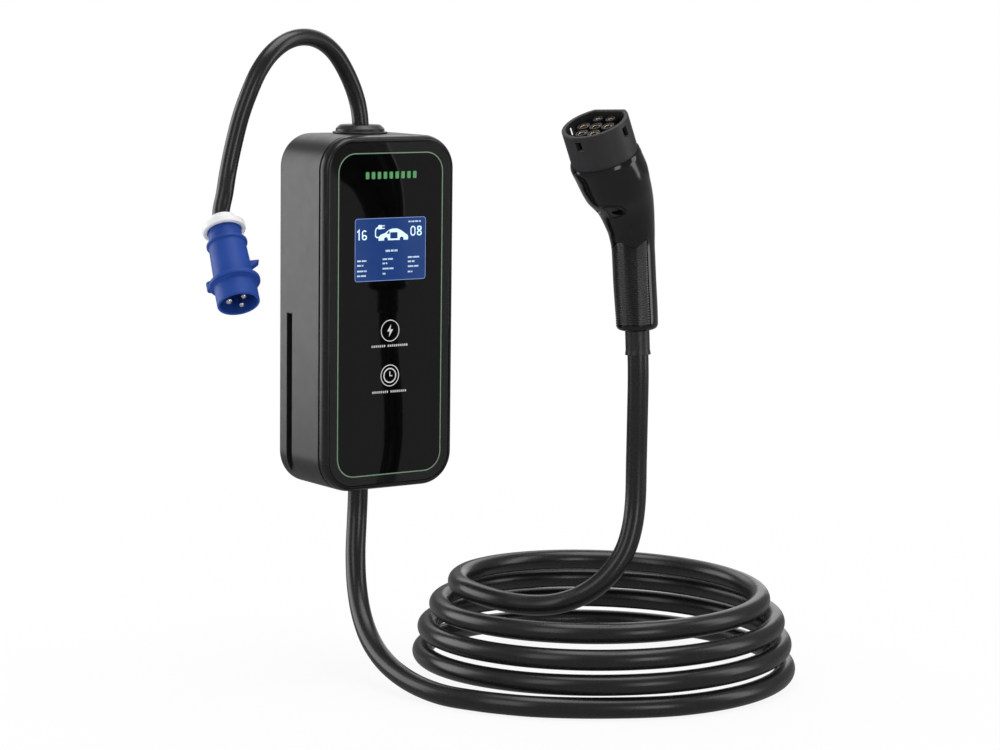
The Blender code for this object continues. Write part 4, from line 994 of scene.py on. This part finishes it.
# Almond hollow on each side of the throat: a flattened ball that lies along the skin
def scallopMesh(side):
    angle = side * h.scallopAngle
    place = handlePoints(np.array(h.mouth[1] * h.scallopShare), np.array(angle))
    turn = np.radians(np.linspace(-h.scallopPole, h.scallopPole, 27))
    ball = turnedMesh(np.stack([np.cos(turn), np.sin(turn)], axis=1), 48)
    lie = turned(angle + math.pi / 2) @ turned(h.scallopOverhang, "X")
    lie = lie @ turned(side * h.scallopSlope, "Y")
    return movedMesh(ball, shifted(*place) @ lie @ Matrix.Diagonal((*h.scallopSize, 1.0)))


# Handle: rings up the skin, with the cable's bore below, the grip's pocket set in, and the nose's
# seat above. The pocket's two side edges are doubled, once at each depth.
def handleMesh():
    deep = np.linspace(-h.gripHalfAngle, h.gripHalfAngle, 73)
    spine = np.linspace(h.gripHalfAngle, 2 * math.pi - h.gripHalfAngle, 97)
    angles = np.concatenate([deep, spine])
    inPocket = np.arange(len(angles)) < len(deep)
    tops = gripTop(np.where(inPocket, angles, h.gripHalfAngle))
    pocket = np.where(inPocket, h.pocketDepth, 0.0)
    above = h.gripTo + h.gripPeak + h.gripBlend
    neck = np.linspace(above, h.mouth[1] * h.neckShare, 72)
    mouth = h.mouth[1] * np.array(h.mouthShares)
    rings = [roundPoints(h.cableBore, z, angles) for z in (h.boreDepth, 0.0)]
    rings += [handlePoints(z, angles) for z in (*h.footHeights, h.gripFrom)]
    for share in np.linspace(0, 1, 36):
        rings.append(handlePoints(h.gripFrom + (tops - h.gripFrom) * share, angles, pocket))
    rings += [handlePoints(tops + (above - tops) * share, angles) for share in np.linspace(0, 0.9, 6)]
    rings += [handlePoints(z, angles) for z in (*neck, *mouth)]
    rings += [inNose(roundPoints(h.seatRadius, z, angles)) for z in (0.0, -h.mouthDepth)]
    return carvedMesh(loftMesh(rings), [scallopMesh(1), scallopMesh(-1)], "DIFFERENCE")


# Ribbed grip: rounded ridges round the handle, each a raised sine between two flat valleys, that fade
# out at its side edges; the painted sheen attribute is 1 between each pair of angles and fades outside
# them, and lightens the colour there in place of the lamps' reflections on the ribs
def gripMesh():
    edge = h.gripHalfAngle - h.gripSideGap / h.half
    angles = np.linspace(-edge, edge, 61)[:, None]
    low = h.gripFrom + h.gripSideGap
    shares = np.linspace(0, 1, h.ribs * 6 + 1)[None, :]
    wave = np.sin(shares * h.ribs * 2 * math.pi - math.pi / 2) * h.ribSteepness
    wave = np.clip(wave, -1, 1) * 0.5 + 0.5
    fade = np.minimum(1.0, (h.gripHalfAngle - np.abs(angles)) / h.ribFade)
    heights = low + (gripTop(angles) - h.gripEndGap - low) * shares
    outer = handlePoints(heights, angles, h.ribHeight * (1 - wave * fade))
    inner = handlePoints(heights[:, [-1, 0]], angles, h.gripDepth)
    mesh = loftMesh(np.concatenate([outer, inner], axis=1))
    places = np.empty(3 * len(mesh.vertices))
    mesh.vertices.foreach_get("co", places)
    aside = np.abs(np.degrees(np.arctan2(places[1::3], places[0::3])))
    share = np.zeros(len(aside))
    for low, high in h.stripes:
        inside = np.minimum(aside - low, high - aside) / h.stripeFade + 0.5
        share = np.maximum(share, np.clip(inside, 0, 1))
    mesh.attributes.new("paintedSheenStripe", "FLOAT", "POINT").data.foreach_set("value", share)
    return mesh


# Nose: a cup whose section is a circle with a flat away from the grip
nose = {
    "radius": 0.027, "flat": 0.0229, "length": 0.0298, "wall": 0.0034, "recess": 0.021,
    "base": 0.005, "slotWidth": 0.0055, "slotLength": 0.008, "slotFromFace": 0.004,
    "barrelWall": 0.0014, "barrelSetback": 0.003, "contactWall": 0.001, "contactSetback": 0.0006,
    "contacts": (
        (0.0, 0.0, 0.0053), (0.0, -0.0116, 0.0053), (0.0, 0.0116, 0.0053), (0.0119, -0.0057, 0.0053),
        (0.0119, 0.0057, 0.0053), (-0.0125, -0.006, 0.0041), (-0.0125, 0.006, 0.0041),
    ),
    "sink": 0.002, "ease": 0.0009, "barrelEase": 0.0005, "sleeveEase": 0.0003, "cutPast": 0.002,
}
n = SimpleNamespace(**nose)
floor = n.length - n.recess


# Ring of the nose: an arc of a circle and the straight flat that closes it
def noseRing(inset, height, steps=110, flatSteps=16):
    radius, flat = n.radius - inset, n.flat - inset
    half = math.acos(flat / radius)
    turn = np.linspace(math.pi + half, 3 * math.pi - half, steps)
    reach = radius * math.sin(half) * np.linspace(1, -1, flatSteps + 2)[1:-1]
    across = np.stack([np.full(flatSteps, -flat), reach, np.full(flatSteps, height)], axis=1)
    return np.concatenate([roundPoints(radius, height, turn), across])


# Cup: the ring carried along a profile of inset and height, with three slots cut in its wall
def noseMesh():
    foot = -(h.mouthDepth - b.gap)
    profile = [(0.0, foot), (0.0, n.length), (n.wall, n.length), (n.wall, floor - n.base)]
    rings = [noseRing(inset, height) for inset, height in eased(profile, n.ease, closed=False)]
    top = n.length - n.slotFromFace
    low = (n.radius - n.wall * 1.5, -n.slotWidth / 2, top - n.slotLength)
    high = (n.radius + n.cutPast, n.slotWidth / 2, top)
    turns = [turned(math.radians(a)) for a in (0, 90, -90)]
    slots = [movedMesh(blockMesh(low, high), turn) for turn in turns]
    return carvedMesh(loftMesh(rings), slots, "DIFFERENCE")


# Carrier: a plate in the nose's outline, joined with a barrel for each contact, each bored out
def carrierMesh():
    inset = n.wall + b.gap
    plate = loftMesh([noseRing(inset, z) for z in (floor - n.base + b.gap, floor)])
    low, top = floor - n.sink, n.length - n.barrelSetback
    barrels, bores = [], []
    for x, y, radius in n.contacts:
        stand = shifted(x, y)
        skin = eased([(radius, floor - n.base / 2), (radius, top), (0.0005, top)], n.barrelEase, False)
        barrels.append(movedMesh(turnedMesh(skin, 48), stand))
        inner = radius - n.barrelWall
        bores.append(movedMesh(turnedMesh([(inner, low), (inner, top + n.cutPast)], 48), stand))
    return carvedMesh(carvedMesh(plate, barrels, "UNION"), bores, "DIFFERENCE")


# Sleeve: a turned tube with eased ends that stands in its barrel
def sleeveMesh(x, y, radius):
    outer = radius - n.barrelWall - b.gap
    inner = outer - n.contactWall
    low = floor - n.sink + b.gap
    top = n.length - n.barrelSetback - n.contactSetback
    profile = eased([(inner, low), (outer, low), (outer, top), (inner, top)], n.sleeveEase)
    return movedMesh(turnedMesh(profile, 40, closeRows=True), shifted(x, y))


intoNose = connectorMatrix @ noseMatrix
boot = turnedMesh(eased(connector["boot"], 0.0005), 64, closeRows=True)
connectorNames = [
    standFor("connector_boot", "connectorBoot", boot, "rubber", connectorMatrix),
    standFor("handle_shell", "handleShell", handleMesh(), "gloss", connectorMatrix),
    standFor("grip_insert", "ribbedGrip", gripMesh(), "grip", connectorMatrix),
    standFor("connector_nose", "connectorNose", noseMesh(), "nose", intoNose),
    standFor("contact_carrier", "contactCarrier", carrierMesh(), "carrier", intoNose),
]
for number, layout in enumerate(n.contacts, 1):
    sleeve = sleeveMesh(*layout)
    connectorNames.append(standFor(f"contact_{number}", f"contactSleeve{number}", sleeve, "silver", intoNose))
print("stage: connector")

# Plug, repeated from the part: lengths run from the collar's cord end to the tip of the nose
plugSizes = {
    "collar": ((0.0073, 0.0), (0.0114, 0.0), (0.0116, 0.0066), (0.0174, 0.0066), (0.0174, 0.0122),
               (0.0137, 0.0122), (0.0137, 0.0085), (0.0073, 0.0085)),
    "body": ((0.0073, 0.0088), (0.0134, 0.0088), (0.0134, 0.023), (0.0165, 0.023), (0.0165, 0.0256),
             (0.015, 0.0262), (0.016, 0.0582), (0.016, 0.059), (0.0206, 0.059), (0.0206, 0.0624),
             (0.017, 0.0628), (0.017, 0.0802), (0.015, 0.0802), (0.015, 0.0562), (0.013, 0.0562),
             (0.013, 0.0462), (0.0105, 0.0462), (0.0105, 0.0122), (0.0073, 0.0122)),
    "insert": ((0.0127, 0.0465), (0.0127, 0.0562)), "pinCircle": 0.0074,
    "pinRadii": (0.003, 0.0024, 0.0024), "pinFirstAngle": math.radians(169), "pinFrom": 0.0422,
    "pinTo": 0.0784, "keyAngle": math.radians(192), "key": (0.019, 0.0038, 0.0542, 0.0618),
    "hookAngle": math.radians(-8), "hookHalfWidth": 0.0035,
    "hook": ((0.0138, 0.0433), (0.0222, 0.0433), (0.0222, 0.0445), (0.0138, 0.0497)),
    "collarEase": 0.001, "bodyEase": 0.0009, "keyEase": 0.0007, "smallEase": 0.0006,
    "cutPast": 0.002,
}
g = SimpleNamespace(**plugSizes)


# Body: a turned shell with a rounded key and a hook joined to its sleeve
def plugBody():
    body = turnedMesh(eased(g.body, g.bodyEase), 96, closeRows=True)
    keyAt, keyRadius, keyLow, keyHigh = g.key
    ends = [(0.0004, keyLow), (keyRadius, keyLow), (keyRadius, keyHigh), (0.0004, keyHigh)]
    turn = turned(g.keyAngle) @ shifted(keyAt)
    key = movedMesh(turnedMesh(eased(ends, g.keyEase, False), 40), turn)
    shape = eased(g.hook, g.smallEase)
    rings = [np.insert(shape, 1, y, axis=1) for y in (-g.hookHalfWidth, g.hookHalfWidth)]
    hook = movedMesh(loftMesh(rings), turned(g.hookAngle))
    return carvedMesh(body, [key, hook], "UNION")


# Place of a pin: a third of a turn from the last one, on the pins' circle
def pinPlace(k):
    angle = g.pinFirstAngle + k * 2 * math.pi / 3
    return shifted(g.pinCircle * math.cos(angle), g.pinCircle * math.sin(angle))


# Pin: a turned rod with a blunt cone at its tip
def pinMesh(k):
    radius, tip = g.pinRadii[k], g.pinTo
    profile = [(radius, g.pinFrom), (radius, tip - radius * 0.5), (radius * 0.6, tip), (0.0003, tip)]
    return movedMesh(turnedMesh(eased(profile, g.smallEase, False), 40), pinPlace(k))


# Pin carrier: a disc with a hole for each pin
def insertMesh():
    (_, low), (_, high) = g.insert
    holes = []
    for k, pinRadius in enumerate(g.pinRadii):
        radius = pinRadius + b.gap
        hole = turnedMesh([(radius, low - g.cutPast), (radius, high + g.cutPast)], 36)
        holes.append(movedMesh(hole, pinPlace(k)))
    return carvedMesh(turnedMesh(g.insert, 72), holes, "DIFFERENCE")


collar = turnedMesh(eased(g.collar, g.collarEase), 96, closeRows=True)
plugNames = [
    standFor("plug_collar", "plugCollar", collar, "white", plugMatrix),
    standFor("plug_body", "plugBody", plugBody(), "blue", plugMatrix),
    standFor("plug_insert", "pinCarrier", insertMesh(), "blue", plugMatrix),
]
for k, kind in enumerate(("earth", "live", "neutral")):
    plugNames.append(standFor(f"plug_pin_{kind}", f"{kind}Pin", pinMesh(k), "nickel", plugMatrix))
print("stage: plug")

# Studio: the camera and clear pieces see white, and gloss sees a dim room with soft cards
studio = {
    "roomHeights": (-0.4, 0.9), "roomGreys": (0.1, 0.3), "floorZ": -0.3062, "floorSize": 40.0,
    "floorColour": (0.92, 0.92, 0.92), "floorRoughness": 0.7, "floorInGloss": 0.28,
    "shadowShare": 0.1, "shadowReach": (0.45, 1.1),
}


# World: white where the camera sees it, and else a grey that grows with the height of the direction
def makeWorld(settings):
    world = bpy.data.worlds.new("studio")
    bpy.context.scene.world = world
    world.use_nodes = True
    tree = world.node_tree
    room = tree.nodes["Background"]
    direction = addNode(tree, "ShaderNodeTexCoord", {}).outputs["Generated"]
    height = addNode(tree, "ShaderNodeSeparateXYZ", {"Vector": direction}).outputs["Z"]
    setInputs(room, {"Color": mapRange(tree, height, settings["roomHeights"], settings["roomGreys"])})
    white = addNode(tree, "ShaderNodeBackground", {"Color": (1, 1, 1, 1)}).outputs["Background"]
    backs = {0: seenShare(tree)[1], 1: room.outputs["Background"], 2: white}
    mix = addNode(tree, "ShaderNodeMixShader", backs)
    setInputs(tree.nodes["World Output"], {"Surface": mix.outputs["Shader"]})


# Floor: white where the camera sees it, with a share of its own shading near the object for the
# shadow, and dim in the gloss of dark pieces
def makeFloor(settings):
    size = settings["floorSize"]
    grid = np.array([[(x, y, settings["floorZ"]) for x in (-size, size)] for y in (-size, size)])
    mesh = gridMesh(grid, closeColumns=False)
    made = Surface("floorPaper", settings["floorColour"], settings["floorRoughness"])
    made.bump(300.0, 3.0, 0.00005, 0.2)
    tree = made.tree
    away = addNode(tree, "ShaderNodeVectorMath", {0: made.place()}, operation="LENGTH").outputs["Value"]
    white = mapRange(tree, away, settings["shadowReach"], (1.0 - settings["shadowShare"], 1.0))
    path, seen = seenShare(tree)
    white = addNode(tree, "ShaderNodeMath", {0: seen, 1: white}, operation="MULTIPLY").outputs["Value"]
    surface = made.shader.outputs["BSDF"]
    for factor, strength in ((white, 1.0), (path.outputs["Is Glossy Ray"], settings["floorInGloss"])):
        lit = addNode(tree, "ShaderNodeEmission", {"Strength": strength}).outputs["Emission"]
        surface = addNode(tree, "ShaderNodeMixShader", {0: factor, 1: surface, 2: lit}).outputs["Shader"]
    setInputs(tree.nodes["Material Output"], {"Surface": surface})
    mesh.materials.append(made.material)
    addObject("studioFloor", mesh)


# Soft card: a rectangular lamp at its place, turned to its aim, that the camera doesn't see
def makeLight(name, place, aim, size, power):
    data = bpy.data.lights.new(name, "AREA")
    data.shape = "RECTANGLE"
    data.size, data.size_y = size
    data.energy = power
    light = addObject(name, data)
    light.location = place
    light.rotation_euler = (Vector(aim) - Vector(place)).to_track_quat("-Z", "Y").to_euler()
    light.visible_camera = False


# Each card's place, aim, width and height, and power
lights = {
    "leftBackCard": ((-0.85, 1.05, 0.22), (0, 0, 0.22), (1.1, 1.1), 10.4),
    "leftFrontCard": ((-2.0, -0.8, 0.9), (0, 0, 0), (0.9, 1.8), 9.0),
    "frontCard": ((-0.16, -2.24, 0.1), (0.12, -0.26, 0.1), (0.6, 1.0), 6.5),
    "overheadCard": ((0.2, -0.2, 1.9), (0, 0, 0), (1.6, 1.6), 26.0),
    "rightFrontCard": ((1.6, -1.3, 0.6), (0, 0, 0), (0.7, 1.8), 10.0),
    "rightBackCard": ((1.5, 1.1, 0.5), (0, 0, 0), (0.7, 1.8), 4.0),
    "backCard": ((0.65, 1.45, 0.85), (0, 0, 0.1), (0.9, 0.8), 3.2),
}
makeWorld(studio)
makeFloor(studio)
for name, card in lights.items():
    makeLight(name, *card)
print("stage: studio")
